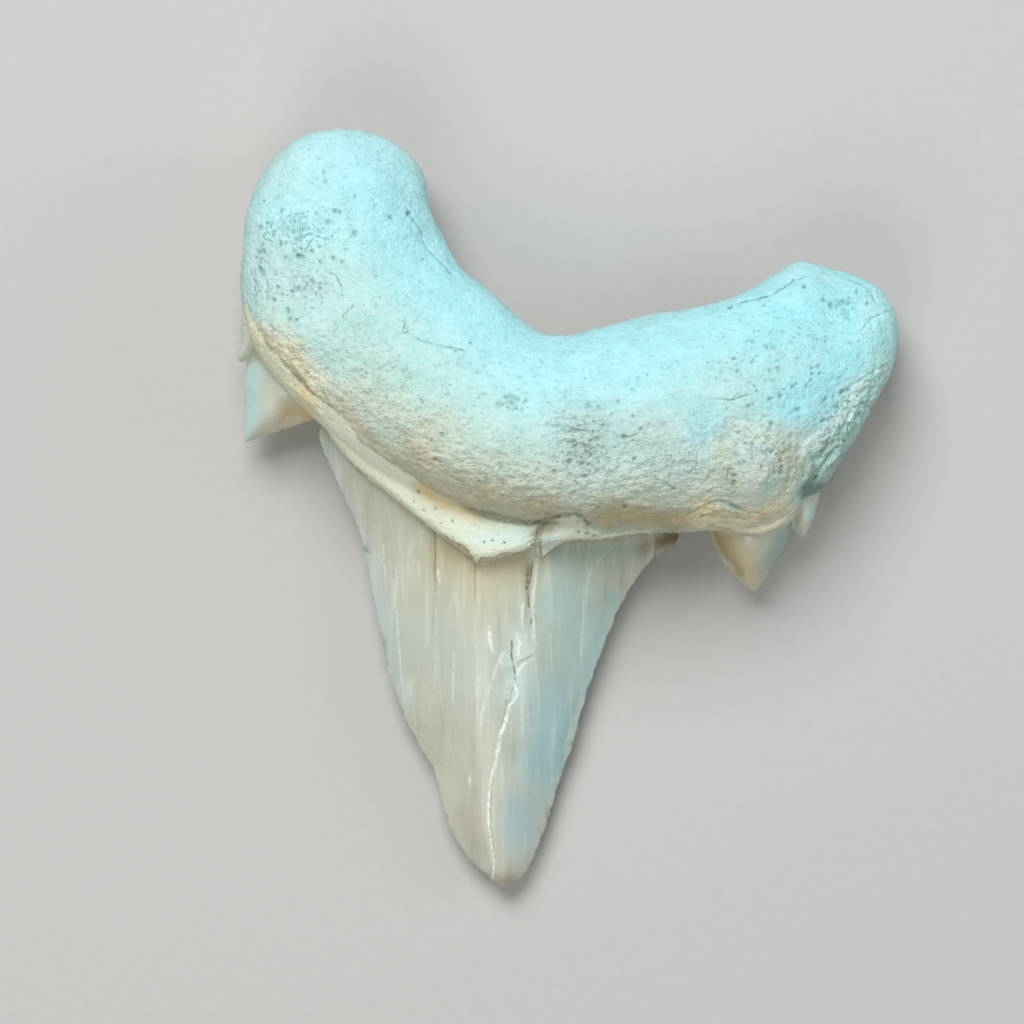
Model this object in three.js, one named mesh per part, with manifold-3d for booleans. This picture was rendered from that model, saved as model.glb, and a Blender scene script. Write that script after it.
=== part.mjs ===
// Fossil shark tooth (Otodus obliquus): a thick two-lobed root, a tall blade-like crown, and two side cusplets on each
// shoulder. It lies on its flatter outer face, with the bulging inner face up, and touches the surface at three small
// flats: one under each root lobe and one under the crown.
// Millimetres. +Z is up, +Y runs from the crown's tip towards the root, and +X runs across the root. The origin is on
// the resting surface, under the middle of the tooth.
import * as THREE from "three";
import { mergeVertices } from "three/addons/utils/BufferGeometryUtils.js";
import Module from "manifold-3d";

const wasm = await Module();
wasm.setup();

const toothWidth = 59.7; // across the root lobes, along X
const toothLength = 68.5; // from the crown's tip to the top of the left lobe, along Y
const toothThickness = 18.8; // at the root's inner bulge, along Z

const boneColour = 0xc9dcd6;
const boneRoughness = 0.75;

// Every station below crosses a form from its left edge to its right edge, and the stations run from end to end.
// One station is [left x, left y, right x, right y, edge height, crest height, underside height]. Places are in
// percent of the tooth's width and length from its middle, and heights in percent of its thickness.

// The root is a bent roll. Its left edge is the margin over the crown, and its right edge is the notched outer margin.
const rootStations = [
  [-34.6, 50.0, -34.6, 50.0, 36, 36, 36],
  [-40.3, 48.6, -29.5, 49.3, 36, 56, 14],
  [-44.4, 45.7, -24.7, 47.2, 37, 66, 5],
  [-47.1, 41.6, -21.8, 44.0, 38, 72, 1],
  [-48.3, 37.4, -20.9, 39.7, 39, 75, -1],
  [-48.9, 32.5, -18.7, 35.6, 39, 77, -1],
  [-49.0, 27.5, -15.9, 31.6, 40, 80, 0],
  [-47.0, 21.0, -12.1, 28.8, 40, 84, 3],
  [-42.2, 15.4, -8.7, 26.1, 41, 88, 6],
  [-35.8, 10.2, -5.2, 23.6, 42, 93, 8],
  [-27.5, 4.5, -2.2, 22.7, 43, 97, 9],
  [-18.5, 0.2, 1.1, 22.8, 43, 100, 9],
  [-8.7, -2.2, 4.9, 23.7, 43, 100, 9],
  [1.1, -3.2, 10.9, 25.0, 43, 99, 9],
  [10.9, -3.1, 18.5, 26.3, 42, 96, 8],
  [20.0, -2.9, 25.4, 28.1, 41, 91, 6],
  [27.5, -2.5, 30.9, 30.7, 40, 85, 3],
  [33.6, -0.1, 34.5, 32.4, 39, 79, 0],
  [38.1, 3.0, 39.4, 31.5, 38, 73, -1],
  [42.3, 8.1, 44.6, 30.1, 36, 67, -1],
  [45.9, 13.7, 47.9, 27.8, 34, 58, 4],
  [48.3, 17.4, 49.4, 25.4, 32, 48, 12],
  [49.8, 22.3, 49.8, 22.3, 30, 30, 30],
];

// The crown starts inside the root, has a chipped nick low on its left edge, and narrows to a blunt tip.
const crownStations = [
  [-32.5, 17.0, 15.5, 5.9, 32, 32, 32],
  [-35.4, 13.6, 17.6, 1.6, 26, 55, 6],
  [-37.8, 10.3, 16.6, -4.4, 22, 64, 3],
  [-35.8, 5.1, 12.7, -7.1, 20, 63, 1],
  [-33.4, 0.5, 9.8, -10.4, 18, 60, 0],
  [-31.3, -4.1, 7.6, -14.0, 17, 57, -1],
  [-29.9, -10.6, 5.6, -18.5, 16, 53, -2],
  [-28.2, -17.8, 3.8, -22.7, 15, 49, -2],
  [-26.7, -23.2, 2.3, -27.0, 14, 45, -1],
  [-25.3, -26.9, 1.2, -30.9, 13, 41, 0],
  [-22.6, -31.2, -0.3, -34.3, 12, 36, 1],
  [-20.2, -35.0, -1.5, -37.2, 12, 32, 2],
  [-19.5, -38.0, -2.3, -39.7, 12, 29, 3],
  [-18.4, -41.3, -3.2, -42.2, 12, 26, 4],
  [-16.1, -44.9, -4.6, -45.3, 12, 23, 6],
  [-13.2, -47.9, -6.5, -48.4, 12, 19, 8],
  [-9.2, -50.5, -9.2, -50.5, 12, 12, 12],
];

// The side cusplets are small copies of the crown: a main one and a tiny outer one on each shoulder.
const cuspletStations = {
  leftMain: [
    [-42.0, 22.0, -34.0, 15.0, 34, 34, 34],
    [-47.9, 20.2, -37.6, 12.0, 30, 46, 16],
    [-48.8, 17.7, -40.0, 11.2, 27, 42, 16],
    [-48.7, 14.4, -42.6, 10.5, 25, 37, 17],
    [-48.9, 11.7, -45.5, 9.6, 24, 31, 18],
    [-48.9, 8.7, -48.9, 8.7, 23, 23, 23],
  ],
  leftOuter: [
    [-45.5, 27.0, -43.5, 22.5, 36, 36, 36],
    [-48.8, 25.5, -46.6, 20.4, 34, 46, 24],
    [-49.4, 22.6, -47.6, 19.8, 33, 41, 26],
    [-49.9, 20.6, -48.6, 19.4, 32, 36, 28],
    [-49.5, 19.1, -49.5, 19.1, 32, 32, 32],
  ],
  rightMain: [
    [22.0, 3.0, 34.0, 3.5, 34, 34, 34],
    [21.3, -2.6, 34.0, -2.4, 28, 50, 12],
    [22.1, -5.0, 32.8, -5.2, 25, 46, 11],
    [24.1, -7.7, 31.0, -7.6, 22, 38, 11],
    [26.3, -9.8, 29.6, -9.6, 20, 28, 13],
    [28.6, -11.1, 28.6, -11.1, 19, 19, 19],
  ],
  rightOuter: [
    [31.5, 3.0, 36.0, 6.0, 32, 32, 32],
    [33.8, -0.6, 38.1, 2.4, 29, 42, 18],
    [34.1, -2.6, 37.3, -0.8, 27, 38, 18],
    [34.9, -3.6, 36.6, -2.5, 25, 31, 20],
    [35.9, -3.8, 35.9, -3.8, 24, 24, 24],
  ],
};

// The neck band is a raised ledge that wraps the bases of the crown and the cusplets under the root's bulge. Its left
// edge is the ragged lip over the enamel, and its right edge is buried in the root.
const neckBandStations = {
  overCrown: [
    [-48.6, 25.5, -48.6, 25.5, 40, 40, 40],
    [-47.8, 22.9, -43.8, 23.6, 42, 48, 36],
    [-46.0, 19.4, -41.5, 20.0, 43, 49, 33],
    [-43.3, 16.3, -39.5, 17.0, 43, 49, 31],
    [-40.3, 13.9, -36.5, 14.6, 42, 49, 28],
    [-37.0, 11.2, -32.5, 12.4, 38, 48, 24],
    [-32.8, 6.5, -27.5, 8.8, 37, 50, 22],
    [-27.5, 2.5, -22.0, 5.0, 42, 57, 22],
    [-21.5, -1.8, -17.0, 2.0, 52, 65, 24],
    [-17.0, -4.7, -13.5, 1.0, 60, 70, 26],
    [-13.5, -6.6, -10.0, 0.4, 64, 71, 28],
    [-8.7, -5.8, -6.0, 0.3, 65, 71, 30],
    [-4.4, -4.7, -2.0, 0.3, 64, 70, 30],
    [0.4, -4.1, 1.5, 0.3, 61, 68, 28],
    [6.4, -3.7, 6.4, 0.5, 53, 62, 24],
    [12.4, -2.8, 12.4, 0.5, 40, 52, 24],
    [17.0, -2.7, 17.0, 1.0, 34, 44, 26],
    [20.5, -1.2, 20.5, -1.2, 36, 36, 36],
  ],
  overRightCusplets: [
    [18.5, -1.4, 18.5, -1.4, 38, 38, 38],
    [22.0, -2.8, 23.5, 1.0, 42, 50, 26],
    [25.4, -3.1, 26.5, 0.5, 45, 54, 26],
    [28.6, -3.4, 29.0, 0.6, 46, 55, 26],
    [31.3, -2.9, 31.0, 1.2, 44, 53, 26],
    [33.6, -1.4, 32.5, 2.6, 41, 50, 28],
    [35.2, 0.6, 33.5, 4.2, 38, 46, 30],
    [36.6, 3.2, 36.6, 3.2, 36, 36, 36],
  ],
};

// Swellings and hollows of the upper faces: place, half width, half length and rise, in percent as above.
const rootRelief = [
  { name: "swelling over the right cusplet", x: 27.5, y: 4.5, wide: 4.5, long: 4.5, rise: 4 },
  { name: "hollow beside it", x: 36.5, y: 5.5, wide: 5.0, long: 5.5, rise: -6 },
  { name: "flat of the right margin", x: 42.0, y: 13.0, wide: 4.5, long: 7.0, rise: -5 },
  { name: "knob on the right lobe", x: 34.5, y: 30.0, wide: 3.5, long: 3.0, rise: 4 },
  { name: "dip across the left lobe", x: -40.0, y: 27.0, wide: 8.0, long: 4.0, rise: -3 },
  { name: "swell of the left lobe", x: -33.0, y: 39.0, wide: 8.0, long: 7.0, rise: 2.5 },
  { name: "pitted hollow of the bulge", x: 2.0, y: 6.5, wide: 6.0, long: 4.0, rise: -3 },
  { name: "pitted hollow under the right lobe", x: 24.0, y: 9.0, wide: 4.0, long: 3.0, rise: -3 },
  { name: "step on the notch margin", x: -21.0, y: 34.5, wide: 2.5, long: 4.0, rise: -4 },
  { name: "stained hollow above the left cusplets", x: -38.0, y: 18.0, wide: 4.0, long: 3.5, rise: -5 },
];
const crownRelief = [
  { name: "step beside the long crack", x: -4.6, y: -8.0, wide: 1.6, long: 6.0, rise: -3 },
  { name: "flake lost along the crack", x: -8.0, y: -21.5, wide: 2.2, long: 6.0, rise: -2.5 },
  { name: "long hollow left of the middle", x: -20.0, y: -9.0, wide: 4.0, long: 12.0, rise: -2.5 },
  { name: "long hollow right of the middle", x: 2.5, y: -12.0, wide: 3.0, long: 10.0, rise: -3 },
  { name: "bevel by the right edge", x: -0.5, y: -32.0, wide: 1.8, long: 5.0, rise: -3.5 },
];

const across = (percent) => (percent / 100) * toothWidth;
const along = (percent) => (percent / 100) * toothLength;
const up = (percent) => (percent / 100) * toothThickness;

// Shapes of a cross-section. v runs from -1 at the left edge to 1 at the right edge, and the value from 0 to 1.
const roll = (v) => Math.sqrt(1 - Math.abs(v) ** 2.3);
const crestNearMargin = (v) => roll(v + 0.18 * (1 - v * v));
const flattened = (v) => Math.sqrt(1 - Math.abs(v) ** 3.5);
const blade = (v) => (1 - v * v) ** 1.15;
const ledge = (v) => (1 - v ** 4) ** 0.5;

function swelling(spots, x, y) {
  const rises = spots.map((spot) => {
    const aside = (x - across(spot.x)) / across(spot.wide);
    const ahead = (y - along(spot.y)) / along(spot.long);
    return up(spot.rise) * Math.exp(-aside * aside - ahead * ahead);
  });
  return rises.reduce((sum, rise) => sum + rise, 0);
}

// Wraps a closed skin over the stations. The poles of a sphere become the two ends of the form, and its parallels
// become the cross-sections, packed closer towards the ends.
function loft({ stations, rings, segments, top, under, relief = [] }) {
  const curve = (pick) => new THREE.CatmullRomCurve3(stations.map(pick));
  const leftEdge = curve(([x, y, , , edge]) => new THREE.Vector3(across(x), along(y), up(edge)));
  const rightEdge = curve(([, , x, y, edge]) => new THREE.Vector3(across(x), along(y), up(edge)));
  const heights = curve(([, , , , , crest, underside], i) => new THREE.Vector3(up(crest), up(underside), i));
  const geometry = new THREE.SphereGeometry(1, segments, rings);
  geometry.deleteAttribute("normal");
  geometry.deleteAttribute("uv");
  const position = geometry.getAttribute("position");
  for (let ring = 0; ring <= rings; ring++) {
    const end = (1 - Math.cos((Math.PI * ring) / rings)) / 2;
    const t = 0.5 * end + (0.5 * ring) / rings;
    const left = leftEdge.getPoint(t);
    const right = rightEdge.getPoint(t);
    const { x: crest, y: underside } = heights.getPoint(t);
    const isEnd = ring === 0 || ring === rings;
    for (let segment = 0; segment <= segments; segment++) {
      const angle = (-2 * Math.PI * (segment % segments)) / segments;
      const v = isEnd ? 0 : Math.cos(angle);
      const point = left.clone().lerp(right, (1 + v) / 2);
      const isTop = Math.sin(angle) > 0;
      const rise = isTop ? (crest - point.z) * top(v) : (underside - point.z) * under(v);
      if (!isEnd) point.z += rise;
      if (!isEnd && isTop) point.z += swelling(relief, point.x, point.y) * top(v);
      position.setXYZ(ring * (segments + 1) + segment, point.x, point.y, point.z);
    }
  }
  return geometry;
}

function solid(geometry) {
  const merged = mergeVertices(geometry, 1e-4);
  return new wasm.Manifold(
    new wasm.Mesh({
      numProp: 3,
      vertProperties: new Float32Array(merged.attributes.position.array),
      triVerts: new Uint32Array(merged.index.array),
    }),
  );
}

function geometryOf(manifold) {
  const { numProp, vertProperties, triVerts } = manifold.getMesh();
  const geometry = new THREE.BufferGeometry();
  geometry.setAttribute("position", new THREE.BufferAttribute(vertProperties, numProp));
  geometry.setIndex(new THREE.BufferAttribute(triVerts, 1));
  geometry.computeVertexNormals();
  return geometry;
}

function root() {
  return loft({
    stations: rootStations,
    rings: 58,
    segments: 36,
    top: crestNearMargin,
    under: flattened,
    relief: rootRelief,
  });
}

function crown() {
  return loft({
    stations: crownStations,
    rings: 46,
    segments: 36,
    top: blade,
    under: blade,
    relief: crownRelief,
  });
}

function cusplet(stations) {
  return loft({ stations, rings: 12, segments: 16, top: blade, under: blade });
}

function neckBand(stations, rings) {
  return loft({ stations, rings, segments: 12, top: ledge, under: ledge });
}

function belowTheSurface() {
  const depth = toothThickness;
  const block = new THREE.BoxGeometry(2 * toothWidth, 2 * toothLength, depth);
  block.deleteAttribute("normal");
  block.deleteAttribute("uv");
  return block.translate(0, 0, -depth / 2);
}

function tooth() {
  const grownTogether = [
    root(),
    crown(),
    ...Object.values(cuspletStations).map(cusplet),
    neckBand(neckBandStations.overCrown, 40),
    neckBand(neckBandStations.overRightCusplets, 18),
  ];
  const joined = grownTogether.map(solid).reduce((sum, form) => sum.add(form));
  const resting = joined.subtract(solid(belowTheSurface()));
  const { min, max } = resting.boundingBox();
  const centred = resting.translate(-(min[0] + max[0]) / 2, -(min[1] + max[1]) / 2, 0);
  const material = new THREE.MeshStandardMaterial({
    color: boneColour,
    roughness: boneRoughness,
    metalness: 0,
  });
  const mesh = new THREE.Mesh(geometryOf(centred), material);
  mesh.name = "tooth";
  return mesh;
}

const group = new THREE.Group();
group.add(tooth());

export default group;
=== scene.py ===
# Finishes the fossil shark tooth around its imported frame: camera, light, floor, detailed tooth and material
import math

import bmesh
import bpy
import numpy as np
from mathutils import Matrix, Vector, kdtree, noise
from mathutils.bvhtree import BVHTree


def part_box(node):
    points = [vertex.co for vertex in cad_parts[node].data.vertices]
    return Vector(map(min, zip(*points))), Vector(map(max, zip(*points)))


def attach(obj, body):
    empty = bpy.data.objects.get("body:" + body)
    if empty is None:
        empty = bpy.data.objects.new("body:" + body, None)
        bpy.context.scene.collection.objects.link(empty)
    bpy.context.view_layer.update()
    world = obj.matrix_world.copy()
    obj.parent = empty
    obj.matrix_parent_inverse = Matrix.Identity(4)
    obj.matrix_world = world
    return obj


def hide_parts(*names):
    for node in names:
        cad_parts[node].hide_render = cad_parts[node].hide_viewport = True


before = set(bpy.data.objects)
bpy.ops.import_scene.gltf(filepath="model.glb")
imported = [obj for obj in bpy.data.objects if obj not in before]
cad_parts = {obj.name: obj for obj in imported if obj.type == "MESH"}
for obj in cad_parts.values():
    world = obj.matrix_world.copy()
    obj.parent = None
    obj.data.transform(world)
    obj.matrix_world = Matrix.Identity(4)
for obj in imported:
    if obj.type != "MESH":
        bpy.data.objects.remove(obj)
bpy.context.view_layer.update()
print("frame loaded")

# camera, looking straight down on the tooth as the photo does
cameraSetup = {
    "x": -0.00497,
    "y": -0.000065,
    "height": 0.5,
    "sharpHeight": 0.005,  # metresPerPixel holds at this height over the floor
    "metresPerPixel": 0.00009015,
    "imagePixels": 1024,
    "sensor": 36.0,
}


def makeCamera(setup):
    data = bpy.data.cameras.new("camera")
    seen = setup["imagePixels"] * setup["metresPerPixel"]
    data.sensor_width = setup["sensor"]
    data.lens = setup["sensor"] * (setup["height"] - setup["sharpHeight"]) / seen
    data.clip_start = 0.01
    data.clip_end = 20
    camera = bpy.data.objects.new("camera", data)
    camera.location = (setup["x"], setup["y"], setup["height"])
    bpy.context.scene.collection.objects.link(camera)
    bpy.context.scene.camera = camera


def photoPlace(co):
    # where points in metres fall in the photo, in pixels
    setup = cameraSetup
    nearer = (setup["height"] - setup["sharpHeight"]) / (setup["height"] - co[:, 2])
    middle = setup["imagePixels"] / 2
    u = middle + (co[:, 0] - setup["x"]) * nearer / setup["metresPerPixel"]
    v = middle - (co[:, 1] - setup["y"]) * nearer / setup["metresPerPixel"]
    return np.stack([u, v], axis=1)


makeCamera(cameraSetup)

# light: a big soft source past the root, a warm soft fill from the crown's side, and a pale surround
lights = {
    "key": {"place": (-0.12, 0.34, 0.50), "size": 0.40, "watts": 3.5, "colour": (0.98, 0.99, 1.0)},
    "fill": {"place": (-0.16, -0.36, 0.42), "size": 0.40, "watts": 1.1, "colour": (1.0, 0.95, 0.88)},
    "rim": {"place": (0.42, 0.05, 0.22), "size": 0.30, "watts": 0.50, "colour": (0.88, 0.97, 1.0)},
}
surround = {"colour": (0.92, 0.96, 1.0), "strength": 0.14}


def makeLights():
    for name, values in lights.items():
        data = bpy.data.lights.new(name, "AREA")
        data.shape = "DISK"
        data.size = values["size"]
        data.energy = values["watts"]
        data.color = values["colour"]
        lamp = bpy.data.objects.new(name, data)
        lamp.location = values["place"]
        lamp.rotation_euler = (-Vector(values["place"])).to_track_quat("-Z", "Y").to_euler()
        bpy.context.scene.collection.objects.link(lamp)
    world = bpy.data.worlds.new("surround")
    world.use_nodes = True
    background = world.node_tree.nodes["Background"]
    background.inputs["Color"].default_value = (*surround["colour"], 1)
    background.inputs["Strength"].default_value = surround["strength"]
    bpy.context.scene.world = world
    bpy.context.scene.view_settings.view_transform = "Standard"


makeLights()
print("camera and lights ready")


# small helpers for node trees
def addNode(tree, kind, inputs=None, **settings):
    node = tree.nodes.new(kind)
    for name, value in settings.items():
        setattr(node, name, value)
    for key, value in (inputs or {}).items():
        if isinstance(value, bpy.types.NodeSocket):
            tree.links.new(value, node.inputs[key])
        else:
            node.inputs[key].default_value = value
    return node


def maths(tree, operation, *values, clamp=False):
    node = addNode(tree, "ShaderNodeMath", dict(enumerate(values)), operation=operation, use_clamp=clamp)
    return node.outputs[0]


def times(tree, a, b, clamp=False):
    return maths(tree, "MULTIPLY", a, b, clamp=clamp)


def largest(tree, a, b, clamp=False):
    return maths(tree, "MAXIMUM", a, b, clamp=clamp)


def mixColours(tree, factor, a, b, blend="MIX"):
    inputs = {0: factor, 6: a, 7: b}
    node = addNode(tree, "ShaderNodeMix", inputs, data_type="RGBA", blend_type=blend, clamp_factor=True)
    return node.outputs[2]


def mixValues(tree, factor, a, b):
    return addNode(tree, "ShaderNodeMix", {0: factor, 2: a, 3: b}, data_type="FLOAT").outputs[0]


def ramp(tree, value, low, high, start=0.0, end=1.0):
    values = {"Value": value, "From Min": low, "From Max": high, "To Min": start, "To Max": end}
    return addNode(tree, "ShaderNodeMapRange", values, interpolation_type="SMOOTHSTEP").outputs[0]


def noiseOf(tree, vector, scale, detail=4.0, roughness=0.55, distortion=0.0):
    values = {"Vector": vector, "Scale": scale, "Detail": detail, "Roughness": roughness}
    return addNode(tree, "ShaderNodeTexNoise", {**values, "Distortion": distortion}).outputs["Fac"]


def stretched(tree, vector, x, y, z):
    return addNode(tree, "ShaderNodeMapping", {"Vector": vector, "Scale": (x, y, z)}).outputs[0]


def paint(red, green, blue):
    # a display colour from 0 to 255, as the linear colour that shaders use
    shown = np.array([red, green, blue]) / 255
    linear = np.where(shown <= 0.04045, shown / 12.92, ((shown + 0.055) / 1.055) ** 2.4)
    return tuple(float(value) for value in linear)


# the floor, a plain pale sheet
floorSetup = {"size": 1.6, "colour": paint(196, 196, 193), "roughness": 0.85}


def makeFloor(setup):
    bm = bmesh.new()
    bmesh.ops.create_grid(bm, x_segments=1, y_segments=1, size=setup["size"] / 2)
    mesh = bpy.data.meshes.new("floor")
    bm.to_mesh(mesh)
    bm.free()
    floor = bpy.data.objects.new("floor", mesh)
    bpy.context.scene.collection.objects.link(floor)
    material = bpy.data.materials.new("floorPaint")
    material.use_nodes = True
    tree = material.node_tree
    shader = tree.nodes["Principled BSDF"]
    place = addNode(tree, "ShaderNodeTexCoord").outputs["Object"]
    grain = noiseOf(tree, place, 900.0, detail=3.0)
    pale = (*setup["colour"], 1)
    darker = (*(0.94 * c for c in setup["colour"]), 1)
    tree.links.new(mixColours(tree, grain, darker, pale), shader.inputs["Base Color"])
    shader.inputs["Roughness"].default_value = setup["roughness"]
    mesh.materials.append(material)


makeFloor(floorSetup)

# the tooth's forms. A station crosses a form from its left edge to its right edge:
# [left x, left y, right x, right y, edge height, crest height, underside height],
# places in percent of the width and length from the middle, and heights in percent of the thickness
toothSize = {"width": 59.7, "length": 68.5, "thickness": 18.8}  # millimetres

rootStations = [
    [-34.6, 50.0, -34.6, 50.0, 36, 36, 36],
    [-40.3, 48.6, -29.5, 49.3, 36, 56, 14],
    [-44.4, 45.7, -24.7, 47.2, 37, 66, 5],
    [-47.1, 41.6, -21.8, 44.0, 38, 72, 1],
    [-48.3, 37.4, -20.9, 39.7, 39, 75, -1],
    [-48.9, 32.5, -18.7, 35.6, 39, 77, -1],
    [-49.0, 27.5, -15.9, 31.6, 40, 80, 0],
    [-47.0, 21.0, -12.1, 28.8, 40, 84, 3],
    [-42.2, 15.4, -8.7, 26.1, 41, 88, 6],
    [-35.8, 10.2, -5.2, 23.6, 42, 93, 8],
    [-27.5, 4.5, -2.2, 22.7, 43, 97, 9],
    [-18.5, 0.2, 1.1, 22.8, 43, 100, 9],
    [-8.7, -2.2, 4.9, 23.7, 43, 100, 9],
    [1.1, -3.2, 10.9, 25.0, 43, 99, 9],
    [10.9, -3.1, 18.5, 26.3, 42, 96, 8],
    [20.0, -2.9, 25.4, 28.1, 41, 91, 6],
    [27.5, -2.5, 30.9, 30.7, 40, 85, 3],
    [33.6, -0.1, 34.5, 32.4, 39, 79, 0],
    [38.1, 3.0, 39.4, 31.5, 38, 73, -1],
    [42.3, 8.1, 44.6, 30.1, 36, 67, -1],
    [45.9, 13.7, 47.9, 27.8, 34, 58, 4],
    [48.3, 17.4, 49.4, 25.4, 32, 48, 12],
    [49.8, 22.3, 49.8, 22.3, 30, 30, 30],
]
crownStations = [
    [-32.5, 17.0, 15.5, 5.9, 32, 32, 32],
    [-35.4, 13.6, 17.6, 1.6, 26, 55, 6],
    [-37.8, 10.3, 16.6, -4.4, 22, 64, 3],
    [-35.8, 5.1, 12.7, -7.1, 20, 63, 1],
    [-33.4, 0.5, 9.8, -10.4, 18, 60, 0],
    [-31.3, -4.1, 7.6, -14.0, 17, 57, -1],
    [-29.9, -10.6, 5.6, -18.5, 16, 53, -2],
    [-28.2, -17.8, 3.8, -22.7, 15, 49, -2],
    [-26.7, -23.2, 2.3, -27.0, 14, 45, -1],
    [-25.3, -26.9, 1.2, -30.9, 13, 41, 0],
    [-22.6, -31.2, -0.3, -34.3, 12, 36, 1],
    [-20.2, -35.0, -1.5, -37.2, 12, 32, 2],
    [-19.5, -38.0, -2.3, -39.7, 12, 29, 3],
    [-18.4, -41.3, -3.2, -42.2, 12, 26, 4],
    [-16.1, -44.9, -4.6, -45.3, 12, 23, 6],
    [-13.2, -47.9, -6.5, -48.4, 12, 19, 8],
    [-9.2, -50.5, -9.2, -50.5, 12, 12, 12],
]
cuspletStations = {
    "leftMain": [
        [-42.0, 22.0, -34.0, 15.0, 34, 34, 34],
        [-47.9, 20.2, -37.6, 12.0, 30, 46, 16],
        [-48.8, 17.7, -40.0, 11.2, 27, 42, 16],
        [-48.7, 14.4, -42.6, 10.5, 25, 37, 17],
        [-48.9, 11.7, -45.5, 9.6, 24, 31, 18],
        [-48.9, 8.7, -48.9, 8.7, 23, 23, 23],
    ],
    "leftOuter": [
        [-45.5, 27.0, -43.5, 22.5, 36, 36, 36],
        [-48.8, 25.5, -46.6, 20.4, 34, 46, 24],
        [-49.4, 22.6, -47.6, 19.8, 33, 41, 26],
        [-49.9, 20.6, -48.6, 19.4, 32, 36, 28],
        [-49.5, 19.1, -49.5, 19.1, 32, 32, 32],
    ],
    "rightMain": [
        [22.0, 3.0, 34.0, 3.5, 34, 34, 34],
        [21.3, -2.6, 34.0, -2.4, 28, 50, 12],
        [22.1, -5.0, 32.8, -5.2, 25, 46, 11],
        [24.1, -7.7, 31.0, -7.6, 22, 38, 11],
        [26.3, -9.8, 29.6, -9.6, 20, 28, 13],
        [28.6, -11.1, 28.6, -11.1, 19, 19, 19],
    ],
    "rightOuter": [
        [31.5, 3.0, 36.0, 6.0, 32, 32, 32],
        [33.8, -0.6, 38.1, 2.4, 29, 42, 18],
        [34.1, -2.6, 37.3, -0.8, 27, 38, 18],
        [34.9, -3.6, 36.6, -2.5, 25, 31, 20],
        [35.9, -3.8, 35.9, -3.8, 24, 24, 24],
    ],
}
neckBandStations = {
    "overCrown": [
        [-48.6, 25.5, -48.6, 25.5, 40, 40, 40],
        [-47.8, 22.9, -43.8, 23.6, 42, 48, 36],
        [-46.0, 19.4, -41.5, 20.0, 43, 49, 33],
        [-43.3, 16.3, -39.5, 17.0, 43, 49, 31],
        [-40.3, 13.9, -36.5, 14.6, 42, 49, 28],
        [-37.0, 11.2, -32.5, 12.4, 38, 48, 24],
        [-32.8, 6.5, -27.5, 8.8, 37, 50, 22],
        [-27.5, 2.5, -22.0, 5.0, 42, 57, 22],
        [-21.5, -1.8, -17.0, 2.0, 52, 65, 24],
        [-17.0, -4.7, -13.5, 1.0, 60, 70, 26],
        [-13.5, -6.6, -10.0, 0.4, 64, 71, 28],
        [-8.7, -5.8, -6.0, 0.3, 65, 71, 30],
        [-4.4, -4.7, -2.0, 0.3, 64, 70, 30],
        [0.4, -4.1, 1.5, 0.3, 61, 68, 28],
        [6.4, -3.7, 6.4, 0.5, 53, 62, 24],
        [12.4, -2.8, 12.4, 0.5, 40, 52, 24],
        [17.0, -2.7, 17.0, 1.0, 34, 44, 26],
        [20.5, -1.2, 20.5, -1.2, 36, 36, 36],
    ],
    "overRightCusplets": [
        [18.5, -1.4, 18.5, -1.4, 38, 38, 38],
        [22.0, -2.8, 23.5, 1.0, 42, 50, 26],
        [25.4, -3.1, 26.5, 0.5, 45, 54, 26],
        [28.6, -3.4, 29.0, 0.6, 46, 55, 26],
        [31.3, -2.9, 31.0, 1.2, 44, 53, 26],
        [33.6, -1.4, 32.5, 2.6, 41, 50, 28],
        [35.2, 0.6, 33.5, 4.2, 38, 46, 30],
        [36.6, 3.2, 36.6, 3.2, 36, 36, 36],
    ],
}
# swellings and hollows of the upper faces: (x, y, half width, half length, rise), in percent as above
rootRelief = [
    (27.5, 4.5, 4.5, 4.5, 4),
    (36.5, 5.5, 5.0, 5.5, -6),
    (42.0, 13.0, 4.5, 7.0, -5),
    (34.5, 30.0, 3.5, 3.0, 4),
    (-40.0, 27.0, 8.0, 4.0, -3),
    (-33.0, 39.0, 8.0, 7.0, 2.5),
    (2.0, 6.5, 6.0, 4.0, -3),
    (24.0, 9.0, 4.0, 3.0, -3),
    (-21.0, 34.5, 2.5, 4.0, -4),
    (-38.0, 18.0, 4.0, 3.5, -5),
]
crownRelief = [
    (-4.6, -8.0, 1.6, 6.0, -3),
    (-8.0, -21.5, 2.2, 6.0, -2.5),
    (-20.0, -9.0, 4.0, 12.0, -2.5),
    (2.5, -12.0, 3.0, 10.0, -3),
    (-0.5, -32.0, 1.8, 5.0, -3.5),
]
formSetup = {
    "rootRings": 260,
    "crownRings": 240,
    "cuspletRings": 60,
    "bandRings": 260,
    "segments": 128,
    "smallSegments": 64,
    "voxel": 0.00015,
    "smoothPasses": 3,
    "triangles": 192000,
}


def roll(v):
    return np.sqrt(np.maximum(1 - np.abs(v) ** 2.3, 0))


def crestNearMargin(v):
    return roll(np.clip(v + 0.18 * (1 - v * v), -1, 1))


def flattened(v):
    return np.sqrt(np.maximum(1 - np.abs(v) ** 3.5, 0))


def blade(v):
    return (1 - v * v) ** 1.15


def ledge(v):
    return np.sqrt(np.maximum(1 - v**4, 0))


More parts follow.
